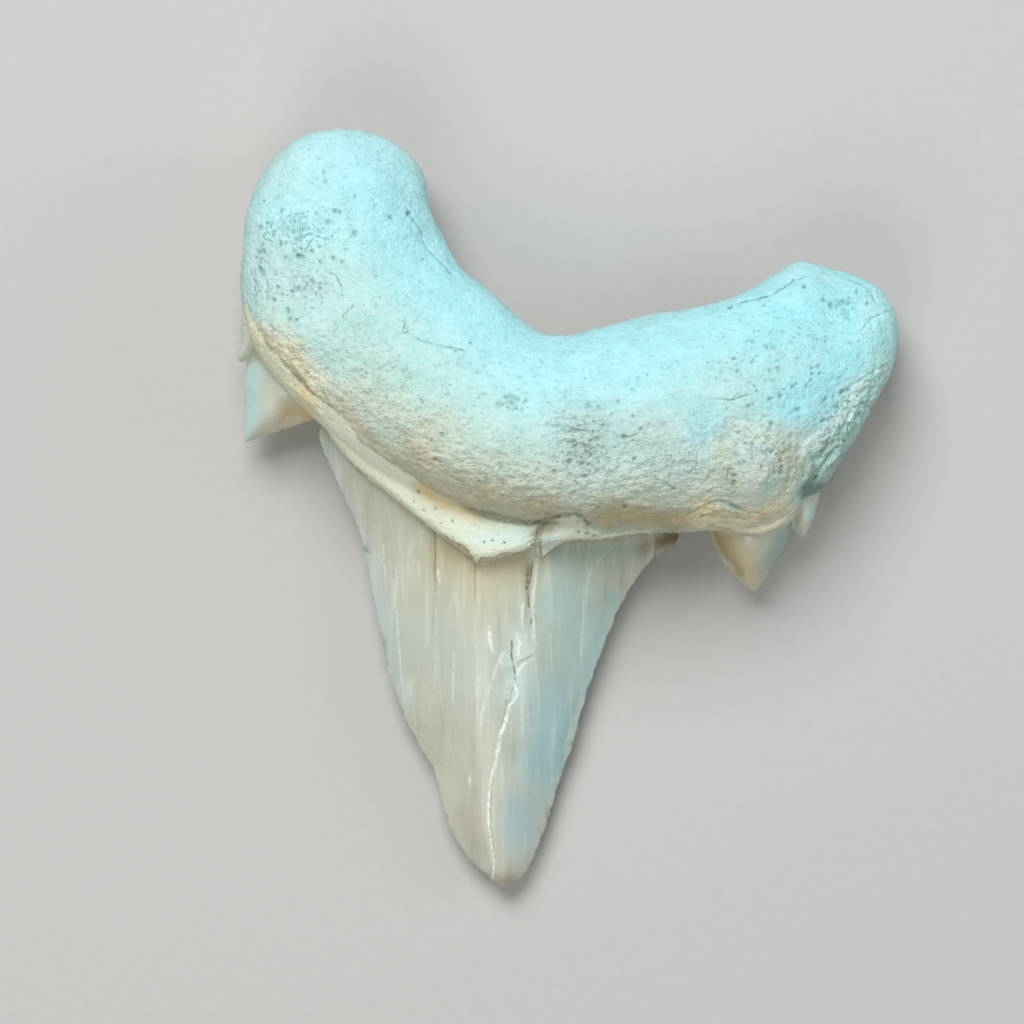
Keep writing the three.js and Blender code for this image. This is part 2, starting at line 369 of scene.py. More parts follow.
def curveThrough(points, t):
    # centripetal curve through the points, with a mirrored point past each end
    points = np.array(points, float)
    padded = np.vstack([2 * points[0] - points[1], points, 2 * points[-1] - points[-2]])
    place = t * (len(points) - 1)
    first = np.minimum(place.astype(int), len(points) - 2)
    w = (place - first)[:, None]
    p0, p1, p2, p3 = (padded[first + step] for step in range(4))
    pairs = ((p0, p1), (p1, p2), (p2, p3))
    d0, d1, d2 = (np.sqrt(np.linalg.norm(b - a, axis=1))[:, None] for a, b in pairs)
    d1 = np.where(d1 < 1e-4, 1, d1)
    d0 = np.where(d0 < 1e-4, d1, d0)
    d2 = np.where(d2 < 1e-4, d1, d2)
    m1 = ((p1 - p0) / d0 - (p2 - p0) / (d0 + d1) + (p2 - p1) / d1) * d1
    m2 = ((p2 - p1) / d1 - (p3 - p1) / (d1 + d2) + (p3 - p2) / d2) * d1
    return (2 * p1 - 2 * p2 + m1 + m2) * w**3 + (3 * (p2 - p1) - 2 * m1 - m2) * w**2 + m1 * w + p1


def reliefAt(spots, x, y):
    rise = np.zeros(len(x))
    for spotX, spotY, wide, long, height in spots:
        aside = (x - spotX * toothSize["width"] / 100) / (wide * toothSize["width"] / 100)
        ahead = (y - spotY * toothSize["length"] / 100) / (long * toothSize["length"] / 100)
        rise += height * toothSize["thickness"] / 100 * np.exp(-(aside**2) - ahead**2)
    return rise


def readPoints(mesh):
    co = np.empty(len(mesh.vertices) * 3)
    mesh.vertices.foreach_get("co", co)
    return co.reshape(-1, 3)


def readNormals(mesh):
    normal = np.empty(len(mesh.vertices) * 3)
    mesh.vertices.foreach_get("normal", normal)
    return normal.reshape(-1, 3)


def writePoints(mesh, co):
    mesh.vertices.foreach_set("co", co.ravel())
    mesh.update()


def growForm(name, stations, rings, segments, top, under, relief=()):
    # a sphere whose poles become the form's two ends and whose parallels become its cross-sections
    bm = bmesh.new()
    bmesh.ops.create_uvsphere(bm, u_segments=segments, v_segments=rings, radius=1)
    mesh = bpy.data.meshes.new(name)
    bm.to_mesh(mesh)
    ball = readPoints(mesh)
    ring = np.arccos(np.clip(ball[:, 2], -1, 1)) / math.pi
    around = np.hypot(ball[:, 0], ball[:, 1])
    isEnd = around < 1e-5
    v = np.where(isEnd, 0, ball[:, 0] / np.maximum(around, 1e-9)).clip(-1, 1)
    isTop = ball[:, 1] > 0
    t = 0.5 * (1 - np.cos(math.pi * ring)) / 2 + 0.5 * ring
    wide, long, thick = (toothSize[key] / 100 for key in ("width", "length", "thickness"))
    left = curveThrough([(s[0] * wide, s[1] * long, s[4] * thick) for s in stations], t)
    right = curveThrough([(s[2] * wide, s[3] * long, s[4] * thick) for s in stations], t)
    heights = curveThrough([(s[5] * thick, s[6] * thick, i) for i, s in enumerate(stations)], t)
    co = left + (right - left) * ((1 + v) / 2)[:, None]
    rise = np.where(isTop, (heights[:, 0] - co[:, 2]) * top(v), (heights[:, 1] - co[:, 2]) * under(v))
    rise += np.where(isTop, reliefAt(relief, co[:, 0], co[:, 1]) * top(v), 0)
    co[:, 2] += np.where(isEnd, 0, rise)
    writePoints(mesh, co / 1000)
    bm.clear()
    bm.from_mesh(mesh)
    bmesh.ops.recalc_face_normals(bm, faces=bm.faces)
    bm.to_mesh(mesh)
    bm.free()
    return mesh


def growForms():
    setup = formSetup
    many, few = setup["segments"], setup["smallSegments"]
    root = growForm("root", rootStations, setup["rootRings"], many, crestNearMargin, flattened, rootRelief)
    crown = growForm("crown", crownStations, setup["crownRings"], many, blade, blade, crownRelief)
    band = []
    for name, stations in neckBandStations.items():
        band.append(growForm(name, stations, setup["bandRings"], few, ledge, ledge))
    enamel = [crown]
    for name, stations in cuspletStations.items():
        enamel.append(growForm(name, stations, setup["cuspletRings"], few, blade, blade))
    return {"bone": [root], "band": band, "enamel": enamel}


def centreForms(forms):
    # the same place as the frame's tooth: the middle of the box is over the origin
    everything = np.vstack([readPoints(mesh) for group in forms.values() for mesh in group])
    low, high = everything.min(axis=0), everything.max(axis=0)
    nodeLow, nodeHigh = (np.array(corner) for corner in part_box("tooth"))
    shift = (nodeLow + nodeHigh) / 2 - (low + high) / 2
    shift[2] = 0
    for group in forms.values():
        for mesh in group:
            writePoints(mesh, readPoints(mesh) + shift)


def finishedMesh(obj, name):
    mesh = bpy.data.meshes.new_from_object(obj.evaluated_get(bpy.context.evaluated_depsgraph_get()))
    mesh.name = name
    return mesh


def growTogether(forms):
    bm = bmesh.new()
    for group in forms.values():
        for mesh in group:
            bm.from_mesh(mesh)
    mesh = bpy.data.meshes.new("grown")
    bm.to_mesh(mesh)
    bm.free()
    grown = bpy.data.objects.new("grown", mesh)
    bpy.context.scene.collection.objects.link(grown)
    skin = grown.modifiers.new("skin", "REMESH")
    skin.mode = "VOXEL"
    skin.voxel_size = formSetup["voxel"]
    smooth = grown.modifiers.new("smooth", "SMOOTH")
    smooth.factor = 0.5
    smooth.iterations = formSetup["smoothPasses"]
    skinned = finishedMesh(grown, "tooth")
    bpy.data.objects.remove(grown)
    return skinned


forms = growForms()
centreForms(forms)
skin = growTogether(forms)
print("forms grown together:", len(skin.vertices), "points")

# places read from the photo, in its pixels
marks = {
    # the ragged lip over the enamel, from the left cusplets past the crown to the right ones
    "lip": [
        (240, 312), (249, 333), (255, 346), (262, 359), (280, 384), (299, 400), (312, 412), (320, 421),
        (328, 432), (342, 449), (356, 465), (371, 480), (387, 490), (405, 507), (421, 520), (434, 531),
        (445, 536), (460, 544), (467, 550), (472, 557), (476, 565), (480, 558), (484, 555), (491, 558),
        (500, 554), (510, 551), (522, 551), (528, 547), (535, 544), (537, 539), (541, 541), (541, 557),
        (551, 550), (559, 543), (567, 540), (586, 540), (600, 539), (620, 536), (640, 532), (660, 531),
        (684, 533), (702, 530), (711, 525), (728, 529), (740, 532), (752, 534), (765, 533), (778, 526),
        (790, 515), (797, 507), (806, 498), (818, 490),
    ],
    # the groove between the bone and the neck band
    "groove": [
        (236, 296), (247, 306), (251, 318), (261, 332), (271, 350), (284, 367), (295, 380), (308, 393),
        (320, 402), (335, 410), (349, 424), (367, 446), (385, 459), (400, 470), (415, 480), (427, 488),
        (445, 497), (462, 506), (475, 513), (500, 519), (517, 522), (535, 523), (549, 521), (556, 520),
        (565, 516), (575, 515), (582, 520), (588, 528), (600, 534), (640, 531),
    ],
    "neckSplit": [(546, 521), (540, 528), (538, 536), (536, 546)],
    "stepEdge": [(539, 546), (537, 560), (535, 577), (532, 600), (532, 620), (534, 640), (536, 660)],
    # a shallow hollow inside the crown's right cutting edge
    "bevel": [(608, 600), (603, 622), (590, 665), (576, 712), (562, 745), (553, 775)],
    "longCrack": [
        (512, 644), (513, 660), (516, 676), (513, 692), (507, 710), (502, 727), (497, 747), (494, 765),
        (490, 788), (488, 815), (491, 842), (494, 864), (491, 878),
    ],
}
boneCracks = [
    # name, points, depth in millimetres, darkness
    ("right lobe", [(738, 303), (750, 300), (757, 298), (767, 296), (778, 290), (788, 283),
        (793, 278), (806, 276)], 0.13, 0.8),
    ("notch margin", [(408, 212), (411, 218), (417, 225), (422, 233), (423, 240), (429, 250),
        (440, 262), (452, 274)], 0.10, 0.6),
    ("bulge", [(405, 323), (404, 330), (414, 335), (424, 341), (440, 345), (452, 347), (464, 350)],
        0.08, 0.65),
    ("bulge, short arm", [(404, 331), (410, 326)], 0.06, 0.5),
    ("left lobe", [(320, 262), (325, 270), (335, 275), (340, 282), (342, 290)], 0.08, 0.5),
    ("left lobe slit", [(302, 236), (311, 234), (322, 238)], 0.10, 0.5),
    ("left lobe, thin", [(311, 241), (305, 250)], 0.06, 0.5),
    ("above the swelling", [(717, 399), (733, 400), (740, 397), (747, 395)], 0.08, 0.6),
    ("outer left", [(266, 226), (262, 238), (270, 241)], 0.05, 0.4),
    ("left margin", [(252, 272), (255, 285), (254, 298)], 0.08, 0.4),
    ("left margin, inner", [(264, 272), (268, 288), (267, 302)], 0.06, 0.4),
    ("right lobe end", [(850, 280), (862, 284), (871, 290), (876, 302)], 0.10, 0.6),
    ("right lobe, low", [(862, 330), (872, 318), (886, 312)], 0.06, 0.4),
    ("fold by the brown shoulder", [(687, 516), (694, 511), (702, 507), (712, 504), (721, 502),
        (735, 506)], 0.16, 0.6),
    ("second fold", [(695, 519), (706, 516), (716, 512)], 0.12, 0.8),
    ("fold over the right cusplet", [(735, 508), (746, 511), (765, 514), (784, 509), (795, 497),
        (811, 485)], 0.12, 0.45),
    ("lower fold", [(700, 523), (727, 523), (752, 527), (771, 523), (790, 511)], 0.07, 0.35),
    ("thin fold", [(712, 517), (740, 518), (768, 518), (786, 508)], 0.06, 0.4),
    ("beside the right margin", [(802, 500), (812, 488), (816, 478), (826, 462), (838, 446)], 0.26, 0.6),
    ("right margin, inner", [(822, 452), (838, 440), (848, 418), (858, 398), (874, 382)], 0.16, 0.3),
    ("right margin, top", [(842, 394), (852, 386), (868, 376), (884, 366)], 0.12, 0.25),
    ("arch over the neck band", [(500, 520), (530, 523), (550, 521), (557, 518), (566, 516),
        (575, 515), (581, 520)], 0.14, 0.9),
    ("right of the arch", [(581, 520), (590, 533), (600, 537)], 0.06, 0.5),
    ("crease in the middle", [(556, 419), (563, 419)], 0.08, 0.5),
    ("crease under it", [(577, 430), (589, 431)], 0.08, 0.6),
    ("crease, right", [(620, 438), (630, 437), (640, 433)], 0.08, 0.5),
    ("upright crease", [(697, 458), (696, 470)], 0.08, 0.5),
    ("crease over the neck", [(592, 512), (598, 508)], 0.08, 0.6),
    ("crease, left", [(344, 314), (353, 306)], 0.06, 0.4),
    ("crease, low left", [(334, 332), (342, 322)], 0.05, 0.3),
]
ridges = [
    # name, points, half width in pixels, rise in millimetres
    ("beside the left cusplets", [(250, 326), (256, 345), (267, 365), (282, 380), (299, 393),
        (310, 402), (322, 413)], 3.0, 0.16),
    ("neck band, upper edge", [(330, 402), (349, 422), (367, 443), (392, 462)], 2.6, 0.10),
    ("neck band, lower edge", [(322, 415), (338, 436), (354, 456), (374, 474), (400, 496),
        (424, 518)], 3.0, 0.07),
    ("lip over the right cusplet", [(711, 523), (728, 527), (740, 530), (752, 531), (765, 529),
        (778, 522), (790, 512)], 2.6, 0.13),
    ("fold above it", [(700, 520), (727, 520), (752, 523), (771, 519), (790, 507)], 2.0, 0.06),
    ("upper fold", [(690, 517), (704, 512), (721, 508), (740, 513), (765, 516), (784, 511),
        (797, 499)], 2.2, 0.08),
    ("right margin", [(886, 376), (868, 404), (850, 432), (834, 456)], 4.0, 0.10),
    ("shard in the right margin", [(838, 452), (827, 466), (818, 478)], 3.0, 0.14),
    ("right margin, inner edge", [(846, 386), (838, 404), (822, 432), (806, 446)], 3.0, 0.08),
    ("pinkish swelling", [(742, 470), (744, 492)], 4.0, 0.08),
    ("pinkish swelling, right", [(766, 462), (760, 488)], 4.0, 0.08),
]
pitPatches = [
    # name, middle, half width, half height, count, smallest and largest radius, depth in millimetres
    ("left lobe", (300, 230), 44, 28, 60, 0.9, 1.7, 0.10),
    ("left lobe, low", (300, 288), 38, 18, 30, 0.9, 1.7, 0.11),
    ("left margin", (260, 270), 8, 40, 16, 0.9, 1.7, 0.10),
    ("left lobe top", (350, 175), 55, 32, 16, 0.7, 1.2, 0.06),
    ("small patch", (513, 403), 15, 7, 20, 0.9, 1.8, 0.13),
    ("middle of the bulge", (583, 450), 34, 36, 70, 0.9, 1.8, 0.12),
    ("right swelling", (764, 448), 34, 14, 44, 0.9, 1.7, 0.13),
    ("beside the swelling", (728, 476), 9, 20, 18, 0.9, 1.6, 0.12),
    ("right lobe end", (846, 306), 20, 12, 30, 0.9, 1.8, 0.12),
    ("right lobe", (770, 350), 80, 38, 56, 0.8, 1.5, 0.09),
    ("low left", (400, 390), 110, 56, 90, 0.7, 1.4, 0.08),
    ("right margin", (842, 432), 24, 46, 70, 1.0, 2.0, 0.13),
    ("whole root", (560, 380), 330, 230, 180, 0.6, 1.3, 0.06),
]
clearPores = {
    # the clearest pores: place and radius in pixels
    "left lobe": [
        (312, 281, 1.9), (298, 289, 1.7), (292, 292, 1.9), (305, 289, 1.6), (320, 289, 1.6),
        (274, 300, 1.5), (259, 269, 2.0), (257, 252, 1.8), (263, 251, 1.5), (355, 234, 2.3),
        (328, 222, 1.9), (335, 211, 1.9), (340, 212, 1.5), (409, 214, 2.2), (391, 218, 1.7),
        (312, 251, 1.6), (333, 258, 1.5), (280, 244, 1.5), (342, 262, 1.3), (346, 250, 1.3),
        (280, 211, 1.7), (293, 232, 1.4), (298, 256, 2.0), (302, 257, 1.6), (288, 311, 1.8),
        (290, 319, 1.8), (296, 320, 1.5),
    ],
    "right lobe": [
        (799, 410, 2.0), (781, 396, 1.8), (770, 399, 1.7), (734, 358, 1.5), (752, 362, 1.4),
        (749, 406, 1.4), (738, 371, 1.6), (812, 368, 1.4), (819, 367, 1.5), (813, 374, 1.4),
        (820, 374, 1.5), (793, 387, 1.5), (807, 386, 1.3), (772, 424, 2.3), (781, 461, 1.8),
        (782, 467, 1.7), (775, 473, 1.6), (734, 476, 2.0), (734, 482, 2.0), (731, 470, 1.5),
        (824, 421, 2.2), (843, 392, 2.1), (837, 407, 2.0), (730, 307, 1.8), (728, 296, 1.4),
        (805, 286, 1.5), (824, 300, 2.0), (831, 304, 1.8), (843, 301, 1.8),
    ],
    "neck band": [
        (418, 492, 0.9), (424, 510, 1.0), (435, 508, 0.9), (452, 521, 1.0), (484, 543, 1.1),
        (493, 541, 1.0), (505, 543, 1.1), (578, 523, 1.5), (579, 532, 1.2), (588, 534, 1.6),
        (593, 537, 1.5), (435, 530, 1.3),
    ],
    "middle": [
        (588, 406, 2.1), (599, 407, 1.4), (618, 402, 1.4), (558, 426, 1.4), (603, 426, 1.4),
        (633, 416, 1.4), (624, 437, 2.2), (641, 429, 1.7), (570, 454, 2.0), (587, 452, 2.3),
        (591, 455, 1.8), (570, 462, 2.0), (582, 464, 2.0), (555, 471, 2.0), (592, 466, 1.5),
        (590, 472, 2.0), (584, 476, 1.9), (575, 446, 2.0), (674, 489, 1.4), (634, 459, 1.4),
        (625, 507, 1.4), (506, 397, 1.9), (512, 402, 2.0), (518, 399, 1.6), (526, 400, 1.7),
        (516, 408, 1.6), (435, 460, 2.0),
    ],
}
roughPatches = [
    # name, stroke, reach in pixels, how rough from 0 to 1
    ("lower belt", [(350, 350), (400, 420), (480, 465), (560, 480), (640, 470), (700, 470)], 46, 0.95),
    ("left, over the cusplets", [(275, 340), (305, 365), (335, 395)], 30, 1.2),
    ("middle of the bulge", [(570, 420), (600, 470)], 38, 1.15),
    ("right swelling", [(740, 440), (790, 470)], 36, 1.25),
    ("right margin", [(880, 376), (850, 430), (815, 480)], 17, 1.3),
    ("left lobe", [(280, 220), (320, 300)], 34, 0.5),
    ("right lobe", [(760, 330), (850, 310)], 40, 0.4),
    ("folds over the right cusplet", [(700, 512), (780, 510)], 14, 0.9),
    ("brown shoulder", [(655, 540), (672, 536)], 10, 1.2),
    ("neck split", [(530, 538), (545, 540)], 8, 1.2),
]
chips = [
    # broken places in the enamel, each a polygon whose corners go clockwise in the photo
    ("upper shard", [(515, 634), (520, 633), (527, 640), (535, 652), (525, 661), (518, 662), (515, 650)]),
    ("left shard", [(504, 651), (511, 657), (513, 668), (508, 670), (498, 662)]),
    ("square shard", [(505, 680), (515, 680), (516, 688), (505, 689)]),
    ("lower shard", [(504, 691), (509, 689), (512, 696), (508, 703), (504, 700)]),
    ("pale sliver", [(521, 604), (525, 604), (524, 628), (521, 628)]),
]
carving = {
    "plainRough": 0.32,  # how rough the bone is away from the patches above
    "underRough": 0.5,
    # the rest is in millimetres
    "broad": 0.16,
    "swells": 0.10,
    "crumbs": 0.13,
    "fibres": 0.10,
    "grain": 0.045,
    "bandCrumbs": 0.045,
    "bandGrain": 0.020,
    "ripples": 0.016,
    "nicks": 0.12,
    "moreNicksOnCrown": 0.30,
    "lip": 0.05,
    "moreLipOnCrown": 0.08,
    "underLip": 0.05,
    "split": 0.25,
    "step": 0.10,
    "besideStep": 0.09,
    "crackStep": 0.04,
    "longCrack": 0.06,
    "shards": 0.035,
    "bevel": 0.10,
    "clearPores": 0.17,
    "underPores": 0.16,
}


def smoothStep(low, high, value):
    t = np.clip((value - low) / (high - low), 0, 1)
    return t * t * (3 - 2 * t)


def hill(distance, reach):
    return np.exp(-((distance / reach) ** 2))


def sideDistance(uv, points):
    # distance in pixels from each point to a stroke, below zero on the right of someone walking along it
    points = np.array(points, float)
    nearest = np.full(len(uv), 1e9)
    turned = np.zeros(len(uv))
    for a, b in zip(points, points[1:]):
        step = b - a
        offset = uv - a
        along = np.clip((offset @ step) / (step @ step), 0, 1)
        distance = np.hypot(*(offset - along[:, None] * step).T)
        turn = (offset[:, 0] * step[1] - offset[:, 1] * step[0]) / np.hypot(*step)
        isTie = np.abs(distance - nearest) < 1e-9
        closer = np.where(isTie, np.abs(turn) > np.abs(turned), distance < nearest)
        nearest = np.where(closer, distance, nearest)
        turned = np.where(closer, turn, turned)
    return nearest * np.where(turned < 0, -1, 1)


def strokeDistance(uv, points):
    if len(points) == 1:
        return np.hypot(*(uv - np.array(points[0], float)).T)
    return np.abs(sideDistance(uv, points))


def outsidePolygon(uv, corners):
    # distance in pixels outside a convex polygon, below zero inside
    corners = np.array(corners, float)
    away = np.full(len(uv), -1e9)
    for a, b in zip(corners, np.roll(corners, -1, axis=0)):
        step = (b - a) / np.hypot(*(b - a))
        away = np.maximum(away, (uv[:, 0] - a[0]) * step[1] - (uv[:, 1] - a[1]) * step[0])
    return away


def lumps(co, stretch, octaves=3, seed=0.0):
    # soft noise from about -1 to 1, with co in millimetres
    points = co * stretch + seed
    basis = "PERLIN_ORIGINAL"
    return np.array([noise.fractal(p, 1.0, 2.0, octaves, noise_basis=basis) for p in points.tolist()])


def treeOf(meshes):
    bm = bmesh.new()
    for mesh in meshes:
        bm.from_mesh(mesh)
    tree = BVHTree.FromBMesh(bm)
    bm.free()
    return tree


def tissueFields(co, uv, seen, wobble):
    # millimetres into the enamel, and away from the bone into the neck band. Edges in view follow the marks
    trees = {name: treeOf(meshes) for name, meshes in forms.items()}
    away = {}
    for name, tree in trees.items():
        away[name] = np.array([tree.find_nearest(p)[3] for p in co.tolist()]) * 1000
    enamel = np.minimum(away["bone"], away["band"]) - away["enamel"]
    band = away["bone"] - away["band"]
    pixel = cameraSetup["metresPerPixel"] * 1000
    lipSide = sideDistance(uv, marks["lip"]) + wobble
    grooveSide = sideDistance(uv, marks["groove"]) + wobble
    enamel += (-lipSide * pixel - enamel) * seen * smoothStep(26, 14, np.abs(lipSide))
    inside = np.minimum(lipSide, -grooveSide)
    band += (-grooveSide * pixel - band) * seen * smoothStep(30, 18, np.abs(inside)) * (uv[:, 0] < 652)
    band += 0.2 * (1 - seen) * smoothStep(24, 8, np.abs(lipSide))  # no gaps in the band where it turns down
    return enamel, band, lipSide, grooveSide


def sinkPore(tree, uv, pore, depth, dark):
    # one irregular hollow in the points round its place
    (u, v), size, long, angle, strength, deepest = pore
    for _, i, _ in tree.find_range((u, v, 0), size * long * 1.6):
        du, dv = uv[i, 0] - u, uv[i, 1] - v
        across = (-math.sin(angle) * du + math.cos(angle) * dv) / size
        ahead = (math.cos(angle) * du + math.sin(angle) * dv) / (size * long)
        hollow = strength * math.exp(-((across**2 + ahead**2) ** 1.5))
        depth[i] = max(depth[i], hollow * deepest)
        dark[i] = max(dark[i], hollow)


def scatterPores(uv, faces, rng):
    # how deep, in millimetres, each point sinks into the small pores of the bone, and how dark it is there,
    # as painted shade in the pores
    tree = kdtree.KDTree(len(uv))
    for i in np.flatnonzero(faces > 0.2).tolist():
        tree.insert((uv[i, 0], uv[i, 1], 0), i)
    tree.balance()
    depth = np.zeros(len(uv))
    dark = np.zeros(len(uv))
    for _, middle, halfWidth, halfHeight, count, small, large, deepest in pitPatches:
        for offset in rng.normal(0, 0.5, (count, 2)) * (halfWidth, halfHeight):
            size = small + (large - small) * rng.random() ** 2
            angle, long = rng.random() * math.pi, 1 + 1.1 * rng.random()
            strength = 0.35 + 0.5 * rng.random()
            pore = (np.array(middle) + offset, size, long, angle, strength, deepest)
            sinkPore(tree, uv, pore, depth, dark)
    for places in clearPores.values():
        for u, v, size in places:
            angle, long = rng.random() * math.pi, 1 + 0.5 * rng.random()
            sinkPore(tree, uv, ((u, v), size, long, angle, 1.0, carving["clearPores"]), depth, dark)
    return depth, dark


def roughnessOf(uv, facing, upward):
    rough = np.full(len(uv), carving["plainRough"])
    for _, stroke, reach, amount in roughPatches:
        rough = np.maximum(rough, amount * hill(strokeDistance(uv, stroke), reach))
    return np.where(facing < 0, np.maximum(rough * upward, carving["underRough"]), rough)


def porousnessOf(uv):
    # where the specks in the material gather. The last patch is the whole root and doesn't count
    porous = np.zeros(len(uv))
    for _, middle, halfWidth, halfHeight, count, *_ in pitPatches[:-1]:
        away = np.hypot((uv[:, 0] - middle[0]) / halfWidth, (uv[:, 1] - middle[1]) / halfHeight)
        crowded = min(1, count / (0.04 * halfWidth * halfHeight))
        porous = np.maximum(porous, crowded * hill(away, 1.0))
    return porous


def crownMask(uv):
    return smoothStep(305, 330, uv[:, 0]) * smoothStep(706, 690, uv[:, 0])


def carveBone(out, mm, rough, bone, band, crumbs, grain):
    # out holds how many millimetres each point moves outwards, here and in the next functions
    deep = carving
    broad = lumps(mm, 0.13, 3, 3.1)
    swells = lumps(mm, 0.42, 3, 61.0)
    out += (deep["broad"] * broad + deep["swells"] * swells) * (bone + 0.5 * band)
    fibres = lumps(mm, np.array([1.3, 2.2, 2.2]), 3, 21.3)
    out += (deep["crumbs"] * crumbs + deep["fibres"] * fibres) * rough * bone
    out += deep["grain"] * grain * (0.4 + rough) * bone
    out += (deep["bandCrumbs"] * crumbs + deep["bandGrain"] * grain) * band


def carveEnamel(out, uv, mm, enamel, cutting):
    # smooth, with faint long ripples on the crown and a finely nicked cutting edge
    onCrown = crownMask(uv)
    ripples = lumps(mm, np.array([1.3, 0.10, 0.4]), 2, 5.5)
    out += carving["ripples"] * ripples * enamel * onCrown
    nicks = np.maximum(lumps(mm, 1.9, 2, 15.2), 0)
    out -= (carving["nicks"] + carving["moreNicksOnCrown"] * onCrown) * nicks * cutting


def carveNeck(out, uv, facingUp, lipSide, grooveSide):
    # the lip of the neck band stands over the enamel, and a groove parts the band from the bone
    deep = carving
    alongNeck = smoothStep(312, 330, uv[:, 0]) * smoothStep(690, 650, uv[:, 0])
    lipRise = smoothStep(-0.8, 0.9, lipSide) * hill(np.maximum(lipSide, 0), 9)
    out += (deep["lip"] + deep["moreLipOnCrown"] * alongNeck) * lipRise * facingUp
    out -= deep["underLip"] * hill(lipSide + 1.5, 2.5) * facingUp
    grooveDepth = np.interp(uv[:, 0], [240, 300, 400, 550, 590, 620], [0.12, 0.12, 0.10, 0.13, 0.10, 0.0])
    groove = hill(grooveSide, 2.3) * facingUp
    out -= grooveDepth * groove
    for _, stroke, width, rise in ridges:
        out += rise * hill(strokeDistance(uv, stroke), width) * facingUp
    return groove


def carveBoneCracks(out, uv, mm, upward, enamel):
    # the cracks and the split. Returns the distance to the nearest crack, how dark it is as painted shade,
    # and the split
    broken = np.clip(0.75 + 0.9 * lumps(mm, 0.9, 2, 33.0), 0.15, 1)
    nearest = np.full(len(uv), 1e9)
    dark = np.zeros(len(uv))
    for _, stroke, depth, darkness in boneCracks:
        side = sideDistance(uv, stroke)
        out -= depth * broken * hill(side, 1.7) * upward * (1 - enamel)
        isNearer = np.abs(side) < np.abs(nearest)
        nearest = np.where(isNearer, side, nearest)
        dark = np.where(isNearer, darkness, dark)
    split = hill(strokeDistance(uv, marks["neckSplit"]), 2.4) * upward * (1 - enamel)
    out -= carving["split"] * split
    return nearest, dark * hill(nearest, 6) * upward, split


def carveCrownBreaks(out, uv, upward, enamel):
    # the step in the enamel under the split, the long crack and the broken places beside it
    deep = carving
    stepSide = sideDistance(uv, marks["stepEdge"])
    stepFade = smoothStep(538, 552, uv[:, 1]) * smoothStep(668, 615, uv[:, 1]) * enamel * upward
    stepRise = smoothStep(-0.8, 0.9, stepSide) * hill(np.maximum(stepSide, 0), 16)
    out += deep["step"] * stepRise * stepFade
    out -= deep["besideStep"] * hill(stepSide + 3.0, 1.6) * stepFade
    crackSide = sideDistance(uv, marks["longCrack"])
    crackRise = smoothStep(-0.8, 0.8, crackSide) * hill(np.maximum(crackSide, 0), 9)
    out += deep["crackStep"] * crackRise * enamel * upward
    out -= deep["longCrack"] * hill(crackSide, 1.5) * enamel * upward
    chipEdge = np.full(len(uv), 1e9)
    for _, corners in chips:
        chipEdge = np.minimum(chipEdge, outsidePolygon(uv, corners))
    out += deep["shards"] * smoothStep(0.8, -0.8, chipEdge) * enamel * upward
    out -= deep["bevel"] * hill(sideDistance(uv, marks["bevel"]), 5) * enamel * upward
    return stepSide, crackSide, chipEdge


def carve(mesh):
    # moves the skin's points, and returns the values that the material and the thinning need
    co = readPoints(mesh)
    normal = readNormals(mesh)
    uv = photoPlace(co)
    mm = co * 1000
    upward = smoothStep(-0.2, 0.3, normal[:, 2])
    facingUp = smoothStep(0.15, 0.45, normal[:, 2])
    seen = smoothStep(0.0, 0.22, normal[:, 2])
    flatter = smoothStep(0.1, 0.5, normal[:, 2])
    crumbs = lumps(mm, np.array([0.9, 1.5, 1.5]), 4, 9.7)
    grain = lumps(mm, 3.2, 2, 40.1)
    wobble = (2.0 * crumbs + 1.3 * grain) * flatter
    enamelField, bandField, lipSide, grooveSide = tissueFields(co, uv, seen, wobble)
    enamel = smoothStep(-0.05, 0.15, enamelField)
    band = smoothStep(-0.05, 0.15, bandField) * (1 - enamel)
    bone = 1 - np.maximum(enamel, band)

    cutting = enamel * smoothStep(0.70, 0.25, np.abs(normal[:, 2]))

    rough = roughnessOf(uv, normal[:, 2], upward)
    out = np.zeros(len(co))
    carveBone(out, mm, rough, bone, band, crumbs, grain)
    carveEnamel(out, uv, mm, enamel, cutting)
    groove = carveNeck(out, uv, facingUp, lipSide, grooveSide)
    nearestCrack, crackDark, split = carveBoneCracks(out, uv, mm, upward, enamel)
    stepSide, crackSide, chipEdge = carveCrownBreaks(out, uv, upward, enamel)
    depth, pores = scatterPores(uv, facingUp * (1 - enamel), np.random.default_rng(7))
    out -= depth * (1 - enamel) * facingUp
    underPores = np.maximum(lumps(mm, 2.3, 2, 77.0) - 0.28, 0) * 2.2 * (1 - upward)
    out -= carving["underPores"] * underPores * (1 - enamel)
    pores = np.maximum(pores * facingUp, np.minimum(underPores, 1)) * (1 - enamel)

    co = co + normal * (out / 1000)[:, None]
    co[:, 2] = np.maximum(co[:, 2], 0)  # the small flats that it rests on
    writePoints(mesh, co)
    detail = hill(np.min(np.abs([lipSide, crackSide, stepSide, nearestCrack]), axis=0), 7) * facingUp
    detail = np.maximum(detail, smoothStep(6, 0, chipEdge) * facingUp)
    detail = np.maximum(detail, 0.7 * cutting * upward)
    # painted shade in the groove by the neck band, kept with the split's stain and shade
    grooveShade = groove * smoothStep(390, 430, uv[:, 0]) * smoothStep(600, 560, uv[:, 0])
    return {
        "enamel": enamelField,
        "band": bandField,
        "pores": pores,
        "porous": np.where(upward > 0.5, porousnessOf(uv), 0.3),
        "rough": rough,
        "crackSide": np.clip(nearestCrack, -30, 30),
        "crackDark": crackDark,
        "stainAndGrooveShade": np.maximum(split, grooveShade),
        "chip": np.clip(chipEdge, -30, 30),
        "plain": 1 - 0.85 * detail,
    }


def keepValues(mesh, name, values):
    layer = mesh.attributes.new(name, "FLOAT", "POINT")
    layer.data.foreach_set("value", values.astype(np.float32))


